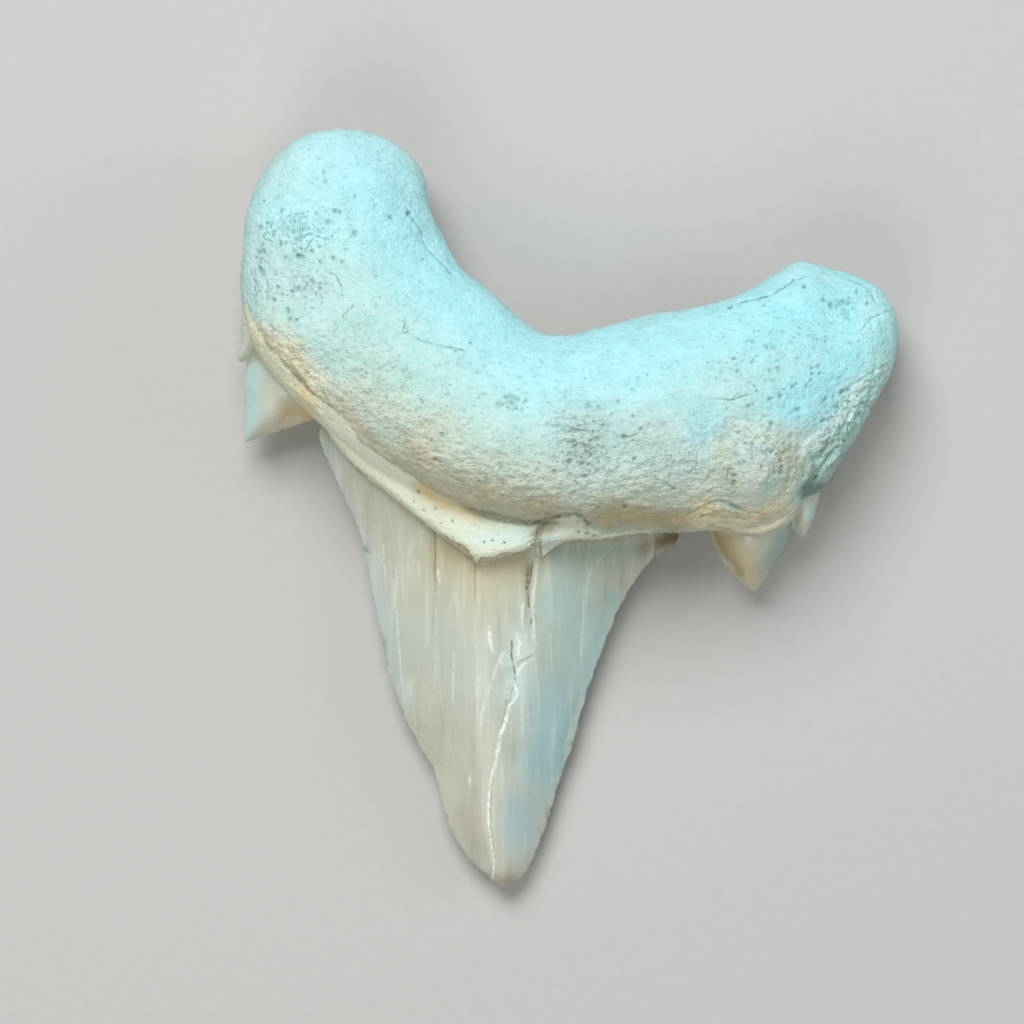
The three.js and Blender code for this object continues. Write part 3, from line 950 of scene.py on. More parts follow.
def keepColours(mesh, name, colours):
    layer = mesh.attributes.new(name, "FLOAT_COLOR", "POINT")
    rgba = np.hstack([colours, np.ones((len(colours), 1))])
    layer.data.foreach_set("color", rgba.astype(np.float32).ravel())


fields = carve(skin)
plainness = fields.pop("plain")
for fieldName, fieldValues in fields.items():
    keepValues(skin, fieldName, fieldValues)
print("surface carved")


def thin(mesh, plainness):
    # fewer triangles, and mostly where the surface is plain
    obj = bpy.data.objects.new("thin", mesh)
    bpy.context.scene.collection.objects.link(obj)
    triangles = sum(len(face.vertices) - 2 for face in mesh.polygons)
    group = obj.vertex_groups.new(name="plain")
    steps = np.round(plainness * 10).astype(int)
    for step in range(11):
        group.add(np.flatnonzero(steps == step).tolist(), max(step, 1) / 10, "REPLACE")
    fewer = obj.modifiers.new("fewer", "DECIMATE")
    fewer.ratio = min(1, formSetup["triangles"] / triangles)
    fewer.vertex_group = "plain"
    fewer.vertex_group_factor = 1.0
    thinned = finishedMesh(obj, "tooth")
    bpy.data.objects.remove(obj)
    return thinned


toothMesh = thin(skin, plainness)
toothMesh.polygons.foreach_set("use_smooth", np.ones(len(toothMesh.polygons), bool))
print("tooth skin:", len(toothMesh.polygons), "faces")

# colours, laid on in broad soft strokes: name, stroke in photo pixels, reach in pixels, colour, strength
# the root's cyan ground and its cyan strokes on the upper faces and margins are painted cool light from
# above, over a cream bone
bonePaint = {"ground": paint(194, 232, 227), "underside": paint(196, 202, 184)}
boneStrokes = [
    ("upper margin", [(360, 170), (430, 270), (500, 335), (560, 362), (650, 345), (760, 305),
        (850, 305)], 52, paint(180, 244, 252), 0.9),
    ("left lobe top", [(320, 150), (360, 150)], 40, paint(188, 240, 246), 0.8),
    ("left lobe edge", [(262, 190), (250, 240), (247, 290)], 15, paint(200, 240, 238), 0.8),
    ("left lobe, bright patch", [(280, 210), (320, 230)], 26, paint(188, 248, 255), 0.7),
    ("left lobe, low", [(280, 300), (330, 320)], 34, paint(200, 236, 230), 0.8),
    ("left belt", [(350, 335), (420, 400), (470, 440)], 34, paint(192, 232, 224), 0.85),
    ("centre", [(520, 360), (640, 375)], 32, paint(186, 246, 252), 0.7),
    # tan bone, with painted shade and painted warm light where the bulge turns down towards the lip
    ("lower belt", [(360, 400), (440, 455), (540, 488), (620, 495), (700, 490)],
        32, paint(211, 223, 204), 0.9),
    ("belt over the lip", [(410, 452), (480, 492), (560, 514), (640, 517), (700, 512)],
        14, paint(208, 200, 168), 0.8),
    ("olive shadow", [(600, 520), (690, 520)], 11, paint(192, 180, 136), 0.8),
    ("middle of the bulge", [(585, 430), (590, 470)], 30, paint(199, 221, 213), 0.75),
    ("pale rise right of the middle", [(640, 430), (690, 460)], 26, paint(196, 218, 211), 0.65),
    # painted cool light over the swelling and under the right lobe
    ("painted cool light over the swelling", [(705, 422), (735, 432)], 24, paint(180, 238, 250), 0.6),
    ("painted cool light under the right lobe", [(795, 405), (835, 372), (862, 352)],
        28, paint(176, 246, 255), 0.95),
    ("right lobe", [(770, 330), (840, 308)], 40, paint(170, 240, 246), 0.75),
    ("right lobe end", [(880, 310), (882, 345)], 24, paint(194, 252, 252), 0.85),
    ("left of the right swelling", [(722, 452), (730, 488)], 13, paint(212, 214, 186), 0.7),
    ("right of the right swelling", [(780, 458), (784, 488)], 12, paint(222, 228, 202), 0.75),
    ("right swelling", [(750, 462), (756, 474), (752, 490)], 14, paint(222, 228, 218), 0.95),
    ("over the right swelling", [(735, 432), (795, 440)], 17, paint(218, 234, 218), 0.8),
    ("tan beside the swelling", [(790, 462), (806, 478)], 13, paint(214, 216, 188), 0.7),
    ("right margin", [(888, 372), (866, 408), (838, 452), (816, 484)], 18, paint(200, 240, 232), 0.95),
    ("right margin, pale ridge", [(862, 386), (836, 422), (812, 442), (800, 458)],
        5, paint(232, 254, 248), 0.75),
    ("right margin, outer rim", [(846, 450), (830, 478)], 7, paint(188, 204, 200), 0.8),
    # painted shade in the crevices of the right margin and by the outer cusplet
    ("right margin, shade in the crevice", [(828, 440), (815, 456), (810, 486)], 4, paint(132, 156, 144), 0.7),
    ("shade in the crevice by the outer cusplet", [(808, 492), (818, 486)], 7, paint(110, 142, 128), 0.9),
    ("tan over the right cusplet", [(700, 517), (740, 520), (785, 510)], 14, paint(250, 238, 198), 0.95),
    ("left stain", [(270, 344), (298, 376), (318, 398)], 20, paint(248, 242, 210), 0.9),
    ("left stain core", [(292, 352), (300, 376)], 9, paint(230, 214, 172), 0.4),
    ("amber at the left cusplet", [(304, 401), (312, 408)], 7, paint(204, 164, 98), 0.9),
    ("stain on the bulge", [(430, 432), (448, 424)], 18, paint(214, 212, 180), 0.35),
    ("groove stain", [(424, 486), (446, 496), (468, 508)], 5, paint(240, 218, 168), 0.9),
    ("groove shadow", [(474, 512), (500, 518), (545, 520), (575, 514)], 5, paint(160, 150, 116), 0.85),
    # painted shade in the groove beside the left cusplets
    ("left margin groove shade", [(258, 330), (271, 350), (295, 380), (312, 396)],
        3.5, paint(160, 152, 110), 0.8),
    ("grey at the neck split", [(528, 530), (546, 528)], 8, paint(158, 152, 128), 0.7),
    ("arch shadow", [(550, 522), (560, 517), (577, 515), (583, 522)], 3.5, paint(124, 122, 92), 0.8),
    ("beside the groove", [(330, 404), (367, 442), (415, 474), (470, 502), (545, 514)],
        11, paint(212, 208, 178), 0.9),
    ("left margin, outside the ridge", [(247, 325), (262, 358), (282, 384), (312, 412), (340, 440)],
        9, paint(222, 222, 190), 0.8),
]
boneUnderStrokes = [
    ("left lobe", [(300, 180), (290, 280)], 50, paint(204, 214, 198), 0.8),
    ("right lobe", [(800, 320), (860, 360)], 50, paint(194, 210, 197), 0.8),
    ("stain under the notch", [(480, 330), (600, 390), (700, 380)], 40, paint(192, 180, 144), 0.7),
    ("stain over the enamel", [(330, 380), (450, 430), (600, 460), (720, 470)],
        24, paint(186, 168, 124), 0.7),
    ("grey patch", [(380, 300), (420, 330)], 34, paint(170, 176, 162), 0.6),
]
bandPaint = {"ground": paint(222, 230, 206), "underside": paint(206, 204, 178)}
bandStrokes = [
    ("left part", [(335, 430), (400, 482)], 20, paint(250, 255, 232), 0.95),
    ("beside the left cusplets", [(247, 315), (285, 385), (312, 412)], 12, paint(232, 234, 198), 0.95),
    ("over the split", [(515, 538), (545, 540)], 12, paint(214, 236, 226), 0.7),
    ("stain along the groove", [(420, 488), (446, 501), (472, 513)], 4.5, paint(234, 208, 150), 0.85),
    # painted shade along the groove, under the bulge
    ("shade along the groove", [(478, 515), (505, 521), (535, 524), (552, 523)],
        4, paint(146, 138, 104), 0.8),
    ("crumbs in the split", [(531, 536), (545, 529)], 6, paint(158, 146, 112), 0.8),
    ("pale blue left of the split", [(478, 536), (512, 537)], 9, paint(212, 238, 232), 0.7),
    ("amber crumbs", [(304, 393), (314, 406)], 6, paint(234, 212, 158), 0.8),
    ("white tongue", [(544, 548), (556, 534)], 5, paint(226, 240, 234), 0.9),
    ("right part", [(600, 534), (650, 530)], 12, paint(236, 242, 220), 0.8),
    ("over the right cusplet", [(705, 526), (757, 536), (795, 518)], 12, paint(226, 218, 184), 0.9),
]
enamelPaint = {"ground": paint(196, 201, 184), "underside": paint(190, 196, 182)}
# the bluish tints on the crown's right side and tip, its left strip, the left cusplet's outer facet and the
# right outer cusplet are painted cool light and its reflection, over grey-cream enamel
enamelStrokes = [
    ("left strip", [(330, 450), (365, 560), (385, 640), (400, 700)], 14, paint(190, 206, 202), 0.9),
    ("top left", [(350, 480), (395, 530)], 22, paint(200, 200, 178), 0.7),
    ("tan middle", [(440, 560), (485, 592), (520, 575)], 28, paint(196, 193, 162), 0.85),
    ("brown under the band", [(440, 545), (460, 556), (478, 574), (500, 566), (530, 560)],
        8, paint(186, 170, 130), 0.6),
    ("pale middle", [(440, 640), (480, 690)], 34, paint(191, 201, 190), 0.7),
    # painted shade under the band's overhang on the right, and in the hollow inside the right cutting edge
    ("right, shade under the band", [(560, 556), (640, 550)], 17, paint(164, 178, 164), 0.9),
    ("right middle", [(565, 600), (585, 655)], 30, paint(178, 212, 207), 0.85),
    ("right low", [(556, 695), (544, 770)], 26, paint(170, 209, 214), 0.85),
    ("right edge, shade in the hollow", [(608, 600), (603, 622), (590, 665), (576, 712), (562, 745), (553, 775)],
        6, paint(146, 192, 194), 0.75),
    ("right rim", [(624, 598), (602, 652), (586, 704), (572, 748)], 4, paint(186, 198, 188), 0.6),
    ("low left", [(425, 720), (452, 765)], 22, paint(206, 207, 186), 0.7),
    ("tip, left", [(462, 810), (480, 840)], 19, paint(188, 184, 167), 0.85),
    ("tip, right", [(520, 810), (522, 840)], 19, paint(174, 198, 202), 0.85),
    ("tip", [(507, 880)], 15, paint(166, 154, 138), 0.85),
    ("brown shoulder", [(650, 548), (660, 540), (676, 536)], 10, paint(128, 108, 68), 1.0),
    ("left cusplet, outer facet", [(250, 375), (250, 425)], 12, paint(180, 216, 214), 0.95),
    ("left cusplet, middle", [(272, 396), (266, 420)], 9, paint(218, 216, 202), 0.8),
    ("left cusplet, inner facet", [(292, 412), (308, 414)], 14, paint(204, 178, 124), 0.95),
    ("left cusplet, lower edge", [(262, 434), (300, 419)], 6, paint(214, 204, 178), 0.8),
    ("left outer cusplet", [(240, 345)], 8, paint(202, 212, 198), 0.9),
    ("right cusplet, left side", [(726, 540), (748, 572)], 19, paint(202, 186, 144), 0.95),
    ("right cusplet, left edge", [(716, 534), (730, 558), (742, 574)], 5, paint(166, 146, 104), 0.7),
    ("right cusplet, right side", [(784, 538), (772, 568)], 12, paint(150, 174, 160), 0.95),
    ("right cusplet, tip", [(757, 588)], 6, paint(200, 190, 160), 0.6),
    ("right outer cusplet", [(806, 515)], 11, paint(198, 236, 224), 0.9),
    ("right outer cusplet, left side", [(798, 512), (806, 526)], 5, paint(206, 194, 172), 0.8),
]
enamelUnderStrokes = [
    ("middle", [(430, 520), (480, 700)], 44, paint(212, 214, 198), 0.8),
    ("right side", [(600, 560), (560, 720)], 30, paint(176, 190, 180), 0.8),
    ("left side", [(350, 480), (390, 640)], 24, paint(184, 194, 186), 0.7),
    ("brown under the root", [(340, 440), (450, 470), (600, 490), (680, 510)],
        13, paint(184, 162, 118), 0.7),
    ("tip", [(500, 860)], 26, paint(188, 178, 160), 0.8),
]


def layColours(uv, ground, strokes):
    colours = np.tile(np.array(ground), (len(uv), 1))
    for _, stroke, reach, colour, strength in strokes:
        cover = strength * hill(strokeDistance(uv, stroke), reach)[:, None]
        colours += (np.array(colour) - colours) * cover
    return colours


def paintTooth(mesh):
    co = readPoints(mesh)
    uv = photoPlace(co)
    upward = smoothStep(-0.2, 0.25, readNormals(mesh)[:, 2])[:, None]
    # soft, uneven edges
    wander = np.stack([lumps(co * 1000, 0.35, 3, seed) for seed in (11.0, 57.0)], axis=1) * 9
    layers = {
        "bonePaint": (bonePaint, boneStrokes, boneUnderStrokes),
        "bandPaint": (bandPaint, bandStrokes, []),
        "enamelPaint": (enamelPaint, enamelStrokes, enamelUnderStrokes),
    }
    for name, (grounds, strokes, underStrokes) in layers.items():
        above = layColours(uv + wander, grounds["ground"], strokes)
        below = layColours(uv + wander, grounds["underside"], underStrokes)
        keepColours(mesh, name, above * upward + below * (1 - upward))
    shatter = hill(strokeDistance(uv, [(520, 640), (514, 690)]), 17) * upward[:, 0]
    keepValues(mesh, "shatter", shatter)
    keepValues(mesh, "facing", upward[:, 0])
    keepValues(mesh, "onCrown", crownMask(uv))


paintTooth(toothMesh)
print("colours laid on")

# fine lines in the enamel: name, points from top to bottom in photo pixels, half width, strength
enamelLines = [
    ("left pale line, top", [(383, 542), (384, 560), (386, 585)], 1.7, 0.75),
    ("left pale line", [(394, 590), (397, 620), (400, 660), (404, 700)], 1.4, 0.7),
    ("short pale line", [(418, 561), (420, 578)], 1.6, 0.5),
    ("upper line", [(433, 580), (436, 620), (436, 665), (432, 700)], 1.1, 0.45),
    ("branch", [(436, 668), (440, 690), (446, 730), (456, 770)], 1.0, 0.35),
    ("middle line", [(454, 652), (453, 680), (453, 704)], 1.5, 0.7),
    ("beside the middle", [(476, 668), (477, 690), (477, 716)], 1.4, 0.5),
    ("second middle line", [(474, 610), (475, 640), (480, 700), (482, 760)], 0.9, 0.3),
    ("ledge left of the patch", [(503, 650), (494, 675), (487, 696), (482, 712), (480, 730)], 2.6, 0.55),
    ("under the patch, left", [(511, 706), (511, 722), (511, 741)], 1.2, 0.5),
    ("under the patch", [(521, 700), (522, 718), (523, 736)], 2.0, 0.5),
    ("low right of the crack", [(526, 750), (527, 768)], 1.4, 0.45),
    ("beside the patch, right", [(534, 650), (537, 677), (539, 700), (538, 726)], 1.4, 0.45),
    ("faint line", [(550, 621), (551, 645), (552, 672)], 1.3, 0.4),
    ("right line", [(584, 590), (583, 620), (581, 652)], 1.5, 0.65),
    ("right line, top", [(592, 567), (588, 580), (586, 602)], 1.7, 0.65),
    ("right curve", [(612, 547), (602, 557), (594, 567)], 1.4, 0.45),
    ("faint right line", [(567, 578), (567, 597)], 1.3, 0.4),
    ("step edge", [(539, 548), (536, 575), (534, 592), (533, 610), (534, 630), (536, 646)], 2.7, 0.75),
    ("sliver", [(524, 604), (522, 616), (523, 630)], 2.4, 0.5),
]
darkLines = [
    ("upper crack", [(533, 562), (530, 580), (528, 592), (529, 604), (531, 616), (532, 628)], 1.5, 0.75),
    ("brown crumbs", [(529, 566), (528, 574), (527, 590), (529, 600)], 2.8, 0.8),
    ("crack in the patch", [(512, 640), (512, 655), (514, 664), (516, 680)], 1.2, 0.8),
    ("under the upper shard", [(531, 656), (518, 663)], 3.0, 0.45),
    ("hole in the patch", [(507, 697), (506, 703)], 2.2, 0.55),
    ("lower hole", [(506, 709), (505, 714)], 2.0, 0.55),
    ("long crack", [(516, 682), (509, 702), (503, 722), (498, 744), (495, 762), (492, 788),
        (490, 815), (492, 842)], 0.8, 0.3),
    ("brown specks", [(434, 526), (435, 545), (435, 580)], 1.4, 0.6),
    ("faint dark line", [(475, 564), (475, 600)], 1.0, 0.4),
    ("left dark line", [(393, 560), (394, 590)], 1.0, 0.4),
]
whiteLines = [
    ("upper shard, bright edge", [(516, 636), (520, 642), (518, 649), (519, 657)], 3.0, 0.9),
    ("arm", [(532, 660), (525, 663), (519, 669), (517, 674)], 4.0, 0.85),
    # a painted glint on the left shard
    ("left shard, painted glint", [(500, 662), (503, 669)], 2.8, 0.9),
    ("lower curve", [(515, 684), (517, 694), (513, 702), (506, 709)], 2.6, 0.95),
    # the long crack's white filling, painted brightest at the top and middle where it glints
    ("filled crack, top", [(507, 712), (506, 721), (502, 730), (499, 738)], 3.4, 1.0),
    ("filled crack, middle", [(499, 742), (497, 751), (496, 758)], 3.6, 1.0),
    ("filled crack, below", [(496, 760), (493, 771), (490, 784)], 2.6, 1.0),
    ("filled crack, low", [(490, 786), (489, 800), (488, 815), (490, 830)], 2.2, 0.95),
    ("filled crack, end", [(490, 828), (491, 842), (494, 864), (492, 880)], 1.6, 0.85),
    # painted glints: small bright spots where light catches the enamel
    ("painted glint", [(489, 628), (490, 640), (492, 652)], 2.8, 0.9),
    ("painted glint, left", [(438, 570), (439, 582)], 2.4, 0.7),
    ("painted glint, low", [(470, 775), (470, 784)], 2.2, 0.8),
    ("painted glint, right", [(581, 645), (581, 656)], 1.8, 0.6),
]
lineField = {"left": 320, "right": 680, "top": 510, "bottom": 890}
toothFinish = {
    "boneRoughness": 0.80,
    "bandRoughness": 0.62,
    "enamelRoughness": 0.36,
    "coat": 0.22,
    "coatRoughness": 0.16,
    "specular": 0.45,
    "bump": 0.9,
    "bumpHeight": 0.00030,
}
toothTints = {
    "hollow": (0.36, 0.47, 0.45),  # painted shade in pores, cracks and creases: what they leave of the bone's colour
    # darker mottling, and painted shade in the valleys of the fibres
    "valley": (0.72, 0.76, 0.69),
    "enamelCrack": paint(112, 94, 68),
    "pale": paint(234, 240, 226),
    # the crack's white filling, and the painted glints
    "white": paint(252, 254, 248),
    # paler dust mottling, and painted highlights on the crests of the fibres
    "dustAndHighlight": paint(228, 232, 214),
    "shard": paint(220, 248, 244),
    "bandRim": paint(246, 242, 214),
    # painted shadow under the band's lip on the crown
    "lipShadow": (0.74, 0.69, 0.56),
}


def makeLineGroup():
    group = bpy.data.node_groups.new("fineLine", "ShaderNodeTree")
    for name in ("Across", "Path", "Down", "Start", "End", "Width", "Strength", "Breaks"):
        group.interface.new_socket(name, in_out="INPUT", socket_type="NodeSocketFloat")
    group.interface.new_socket("Mask", in_out="OUTPUT", socket_type="NodeSocketFloat")
    given = group.nodes.new("NodeGroupInput").outputs
    away = maths(group, "ABSOLUTE", maths(group, "SUBTRACT", given["Across"], given["Path"]))
    line = ramp(group, away, given["Width"], 0.0)
    begun = times(group, maths(group, "SUBTRACT", given["Down"], given["Start"]), 0.12, clamp=True)
    going = times(group, maths(group, "SUBTRACT", given["End"], given["Down"]), 0.12, clamp=True)
    mask = times(group, times(group, line, begun), going)
    mask = times(group, times(group, mask, given["Strength"]), given["Breaks"])
    result = group.nodes.new("NodeGroupOutput")
    group.links.new(mask, result.inputs["Mask"])
    return group


lineGroup = makeLineGroup()


def drawLines(tree, lines, across, down, breaks):
    # the strongest of the lines at each place. across and down are photo pixels
    left, top = lineField["left"], lineField["top"]
    wide, high = lineField["right"] - left, lineField["bottom"] - top
    drop = maths(tree, "DIVIDE", maths(tree, "SUBTRACT", down, top), high)
    strongest = None
    for name, points, width, strength in lines:
        curve = addNode(tree, "ShaderNodeFloatCurve", {"Value": drop}, label=name)
        line = curve.mapping.curves[0]
        spots = [((v - top) / high, (u - left) / wide) for u, v in points]
        line.points[0].location = (0, spots[0][1])
        line.points[1].location = (1, spots[-1][1])
        for spot in spots:
            line.points.new(*spot)
        for point in line.points:
            point.handle_type = "VECTOR"
        curve.mapping.update()
        path = maths(tree, "MULTIPLY_ADD", curve.outputs[0], wide, left)
        drawn = addNode(tree, "ShaderNodeGroup", node_tree=lineGroup)
        for socket, value in (("Across", across), ("Path", path), ("Down", down), ("Breaks", breaks)):
            tree.links.new(value, drawn.inputs[socket])
        drawn.inputs["Start"].default_value = points[0][1] - 4
        drawn.inputs["End"].default_value = points[-1][1] + 4
        drawn.inputs["Width"].default_value = width
        drawn.inputs["Strength"].default_value = strength
        mask = drawn.outputs[0]
        strongest = mask if strongest is None else largest(tree, strongest, mask)
    return strongest


def attributeOf(tree, name, output="Fac"):
    return addNode(tree, "ShaderNodeAttribute", attribute_name=name).outputs[output]


def thinLine(tree, side, width):
    # 1 where a signed distance crosses zero, 0 a width away from there
    return ramp(tree, maths(tree, "ABSOLUTE", side), width, 0.0)


def photoPixels(tree, place, mm):
    # across and down in the photo, for the lines that were read from it
    parts = addNode(tree, "ShaderNodeSeparateXYZ", {0: place}).outputs
    setup = cameraSetup
    scale = (setup["height"] - setup["sharpHeight"]) / setup["metresPerPixel"]
    nearer = maths(tree, "DIVIDE", scale, maths(tree, "SUBTRACT", setup["height"], parts["Z"]))
    middle = setup["imagePixels"] / 2
    across = maths(tree, "MULTIPLY_ADD", maths(tree, "SUBTRACT", parts["X"], setup["x"]), nearer, middle)
    down = maths(tree, "MULTIPLY_ADD", maths(tree, "SUBTRACT", setup["y"], parts["Y"]), nearer, middle)
    sway = noiseOf(tree, mm, 1.1, detail=3)
    return maths(tree, "ADD", across, maths(tree, "MULTIPLY_ADD", sway, 3.0, -1.5)), down


def boneHollows(tree, mm, rough):
    # pores, specks, creases and cracks, darkened as painted shade in these hollows, and the neck split and
    # the groove by the band: the split partly stain and partly painted shade, the groove painted shade
    speckNoise = noiseOf(tree, mm, 3.1, detail=2, roughness=0.6)
    porous = attributeOf(tree, "porous")
    specks = ramp(tree, maths(tree, "MULTIPLY_ADD", porous, 0.12, speckNoise), 0.70, 0.77)
    along = stretched(tree, mm, 0.8, 1.5, 1.2)
    creaseNoise = noiseOf(tree, along, 0.95, detail=3, roughness=0.6, distortion=0.8)
    creases = thinLine(tree, maths(tree, "SUBTRACT", creaseNoise, 0.5), 0.022)
    creases = times(tree, creases, ramp(tree, noiseOf(tree, mm, 1.1, detail=2), 0.56, 0.68))
    creases = times(tree, creases, times(tree, rough, 0.42), clamp=True)
    wobble = maths(tree, "MULTIPLY_ADD", noiseOf(tree, mm, 2.2, detail=3), 3.2, -1.6)
    cracks = thinLine(tree, maths(tree, "ADD", attributeOf(tree, "crackSide"), wobble), 1.15)
    cracks = times(tree, cracks, ramp(tree, noiseOf(tree, mm, 1.4, detail=3), 0.38, 0.58, 0.25, 1.0))
    cracks = times(tree, cracks, attributeOf(tree, "crackDark"), clamp=True)
    pores = largest(tree, attributeOf(tree, "pores"), times(tree, specks, 0.6), clamp=True)
    hollows = largest(tree, times(tree, pores, 0.8), times(tree, creases, 0.7))
    hollows = largest(tree, hollows, times(tree, cracks, 0.95), clamp=True)
    return largest(tree, hollows, times(tree, attributeOf(tree, "stainAndGrooveShade"), 0.5))


def boneLook(tree, mm, tints, fine, band):
    # colour and height of the bone and the neck band: mottled, with short fibres along the root, their crests
    # lightened as painted highlight and their valleys darkened as painted shade
    rough = attributeOf(tree, "rough")
    broad = noiseOf(tree, mm, 0.45, detail=4, roughness=0.6)
    fibres = noiseOf(tree, stretched(tree, mm, 1.15, 1.6, 1.5), 1.4, detail=3, roughness=0.7)
    bone = attributeOf(tree, "bonePaint", "Color")
    swings = ((0.84, 1.02), (0.88, 0.99), (0.88, 1.01))  # of red, green and blue
    channels = {i: ramp(tree, broad, 0.25, 0.75, low, high) for i, (low, high) in enumerate(swings)}
    mottle = addNode(tree, "ShaderNodeCombineColor", channels).outputs[0]
    bone = mixColours(tree, 1.0, bone, mottle, "MULTIPLY")
    patches = noiseOf(tree, mm, 1.0, detail=4, roughness=0.7)
    bone = mixColours(tree, ramp(tree, patches, 0.54, 0.72, 0.0, 0.30), bone, tints["dustAndHighlight"], "SOFT_LIGHT")
    bone = mixColours(tree, ramp(tree, patches, 0.48, 0.30, 0.0, 0.30), bone, tints["valley"], "MULTIPLY")
    relief = maths(tree, "MULTIPLY_ADD", rough, 0.70, 0.30)
    # painted highlight on the fibres' crests and painted shade in their valleys, matching the bump of the
    # same fibres
    crests = times(tree, ramp(tree, fibres, 0.52, 0.74), times(tree, relief, 0.48), clamp=True)
    valleys = times(tree, ramp(tree, fibres, 0.48, 0.30), relief, clamp=True)
    bone = mixColours(tree, crests, bone, tints["dustAndHighlight"])
    bone = mixColours(tree, valleys, bone, tints["valley"], "MULTIPLY")
    bandColour = attributeOf(tree, "bandPaint", "Color")
    bandColour = mixColours(tree, ramp(tree, fine, 0.55, 0.36, 0.0, 0.25), bandColour, tints["dustAndHighlight"])
    rim = thinLine(tree, maths(tree, "ADD", attributeOf(tree, "enamel"), 0.12), 0.16)
    bandColour = mixColours(tree, times(tree, rim, 0.7), bandColour, tints["bandRim"])
    bone = mixColours(tree, band, bone, bandColour)
    hollows = boneHollows(tree, mm, rough)
    bone = mixColours(tree, hollows, bone, tints["hollow"], "MULTIPLY")
    height = maths(tree, "MULTIPLY_ADD", fine, 0.5, times(tree, fibres, times(tree, relief, 1.3)))
    height = maths(tree, "SUBTRACT", height, times(tree, hollows, 0.8))
    return bone, height


def enamelLook(tree, place, mm, tints, fine):
    # colour and height of the enamel: long faint streaks, pale lines, the long crack and its white filling.
    # Also its streaks, and where it is worn
    facing = attributeOf(tree, "facing")
    across, down = photoPixels(tree, place, mm)
    downCrown = stretched(tree, mm, 1.1, 0.08, 0.25)
    streaks = noiseOf(tree, downCrown, 1.0, detail=5, roughness=0.62, distortion=0.25)
    streaks = mixValues(tree, attributeOf(tree, "onCrown"), 0.5, streaks)
    cloud = noiseOf(tree, mm, 0.22, detail=3)
    glaze = attributeOf(tree, "enamelPaint", "Color")
    glaze = mixColours(tree, ramp(tree, streaks, 0.52, 0.74, 0.0, 0.42), glaze, tints["pale"])
    glaze = mixColours(tree, ramp(tree, streaks, 0.48, 0.28, 0.0, 0.20), glaze, tints["enamelCrack"])
    glaze = mixColours(tree, ramp(tree, cloud, 0.45, 0.7, 0.0, 0.12), glaze, tints["pale"])
    breaks = ramp(tree, noiseOf(tree, mm, 1.7, detail=3), 0.36, 0.55)
    paleMask = times(tree, drawLines(tree, enamelLines, across, down, breaks), facing)
    darkMask = times(tree, drawLines(tree, darkLines, across, down, breaks), facing)
    jags = maths(tree, "MULTIPLY_ADD", noiseOf(tree, mm, 3.6, detail=2), 3.6, -1.8)
    jagged = maths(tree, "ADD", across, jags)
    crumbled = ramp(tree, noiseOf(tree, mm, 3.0, detail=2), 0.34, 0.50)
    whiteMask = times(tree, drawLines(tree, whiteLines, jagged, down, crumbled), facing)
    glaze = mixColours(tree, paleMask, glaze, tints["pale"])
    chipSide = maths(tree, "ADD", attributeOf(tree, "chip"), maths(tree, "MULTIPLY_ADD", fine, 2.0, -1.0))
    chipMask = times(tree, ramp(tree, chipSide, 0.7, -0.7), facing)
    cellValues = {"Vector": stretched(tree, mm, 1.7, 0.8, 1.0), "Scale": 1.0}
    cells = addNode(tree, "ShaderNodeTexVoronoi", cellValues, feature="DISTANCE_TO_EDGE")
    shatter = attributeOf(tree, "shatter")
    shardLines = times(tree, ramp(tree, cells.outputs["Distance"], 0.07, 0.0), shatter)
    shatterMask = largest(tree, times(tree, chipMask, 0.45), times(tree, shardLines, 0.55))
    shatterMask = largest(tree, shatterMask, times(tree, shatter, 0.40), clamp=True)
    glaze = mixColours(tree, shatterMask, glaze, tints["shard"])
    glaze = mixColours(tree, whiteMask, glaze, tints["white"])
    glaze = mixColours(tree, darkMask, glaze, tints["enamelCrack"])
    # painted shadow under the band's lip, on the crown only, broken up by noise
    underLip = ramp(tree, attributeOf(tree, "enamel"), 0.75, 0.0)
    lipShadow = times(tree, underLip, ramp(tree, fine, 0.30, 0.62, 0.2, 0.75))
    lipShadow = times(tree, lipShadow, attributeOf(tree, "onCrown"))
    glaze = mixColours(tree, lipShadow, glaze, tints["lipShadow"], "MULTIPLY")
    height = maths(tree, "SUBTRACT", times(tree, streaks, 0.06), times(tree, darkMask, 0.4))
    height = maths(tree, "ADD", height, times(tree, shatterMask, 0.25))
    return glaze, height, streaks, largest(tree, whiteMask, chipMask)


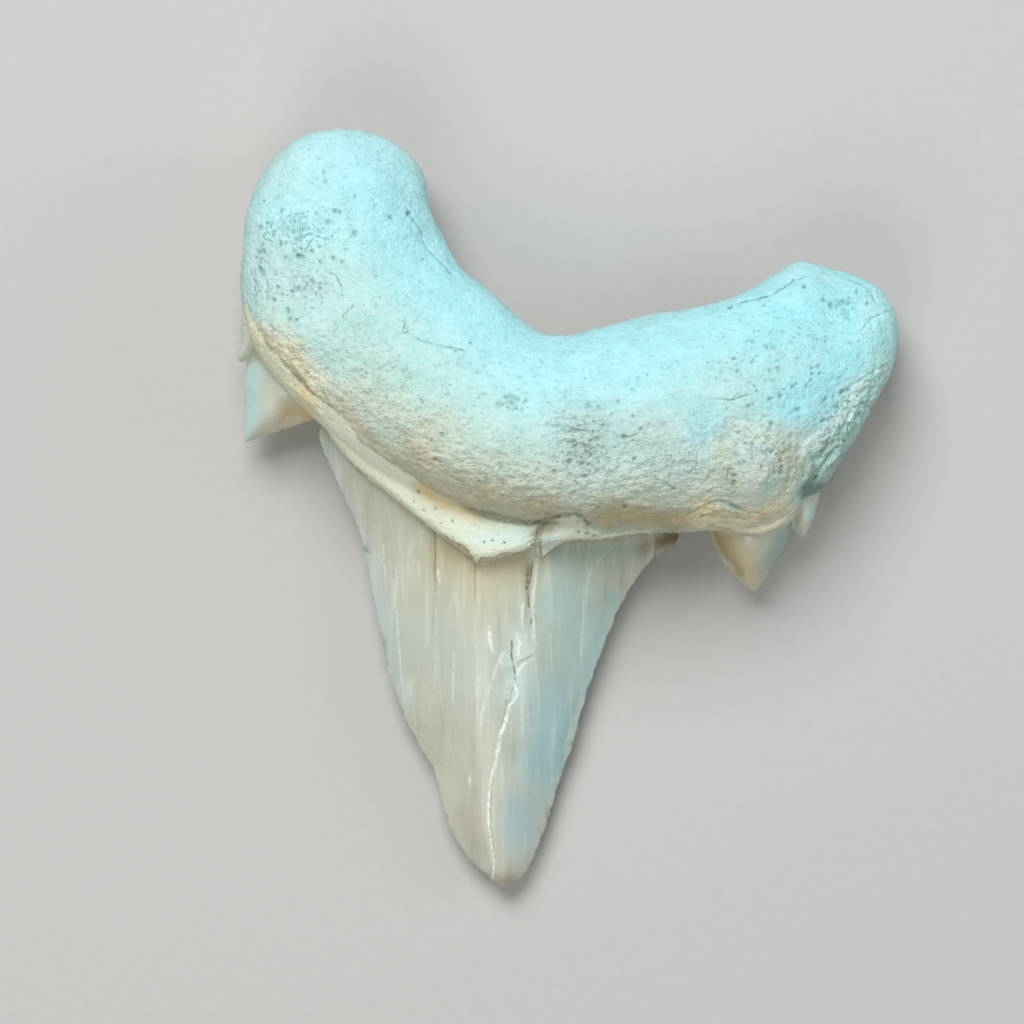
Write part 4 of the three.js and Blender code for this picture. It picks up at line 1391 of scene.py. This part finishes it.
def makeToothMaterial():
    finish = toothFinish
    tints = {name: (*colour, 1) for name, colour in toothTints.items()}
    material = bpy.data.materials.new("fossilTooth")
    material.use_nodes = True
    tree = material.node_tree
    shader = tree.nodes["Principled BSDF"]
    place = addNode(tree, "ShaderNodeTexCoord").outputs["Object"]
    mm = stretched(tree, place, 1000, 1000, 1000)

    # where each tissue is, with a slightly ragged edge
    ragged = maths(tree, "MULTIPLY_ADD", noiseOf(tree, mm, 3.4, detail=4, roughness=0.65), 0.16, -0.08)
    enamel = ramp(tree, maths(tree, "ADD", attributeOf(tree, "enamel"), ragged), -0.03, 0.06)
    band = ramp(tree, maths(tree, "ADD", attributeOf(tree, "band"), ragged), -0.10, 0.16)
    band = times(tree, band, maths(tree, "SUBTRACT", 1.0, enamel))

    fine = noiseOf(tree, mm, 2.8, detail=3, roughness=0.68)
    bone, boneHeight = boneLook(tree, mm, tints, fine, band)
    glaze, enamelHeight, streaks, worn = enamelLook(tree, place, mm, tints, fine)
    tree.links.new(mixColours(tree, enamel, bone, glaze), shader.inputs["Base Color"])

    boneRoughness = mixValues(tree, band, finish["boneRoughness"], finish["bandRoughness"])
    boneRoughness = maths(tree, "MULTIPLY_ADD", fine, 0.22, maths(tree, "SUBTRACT", boneRoughness, 0.11))
    scuffs = maths(tree, "MULTIPLY_ADD", streaks, 0.16, finish["enamelRoughness"] - 0.08)
    scuffs = maths(tree, "ADD", scuffs, times(tree, worn, 0.25))
    tree.links.new(mixValues(tree, enamel, boneRoughness, scuffs), shader.inputs["Roughness"])
    tree.links.new(times(tree, enamel, finish["coat"]), shader.inputs["Coat Weight"])
    shader.inputs["Coat Roughness"].default_value = finish["coatRoughness"]
    shader.inputs["Specular IOR Level"].default_value = finish["specular"]

    height = mixValues(tree, enamel, boneHeight, enamelHeight)
    bumpValues = {"Height": height, "Strength": finish["bump"], "Distance": finish["bumpHeight"]}
    bump = addNode(tree, "ShaderNodeBump", bumpValues)
    tree.links.new(bump.outputs[0], shader.inputs["Normal"])
    return material


tooth = bpy.data.objects.new("fossilTooth", toothMesh)
bpy.context.scene.collection.objects.link(tooth)
toothMesh.materials.clear()
toothMesh.materials.append(makeToothMaterial())
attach(tooth, "root")
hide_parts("tooth")
print("tooth finished")
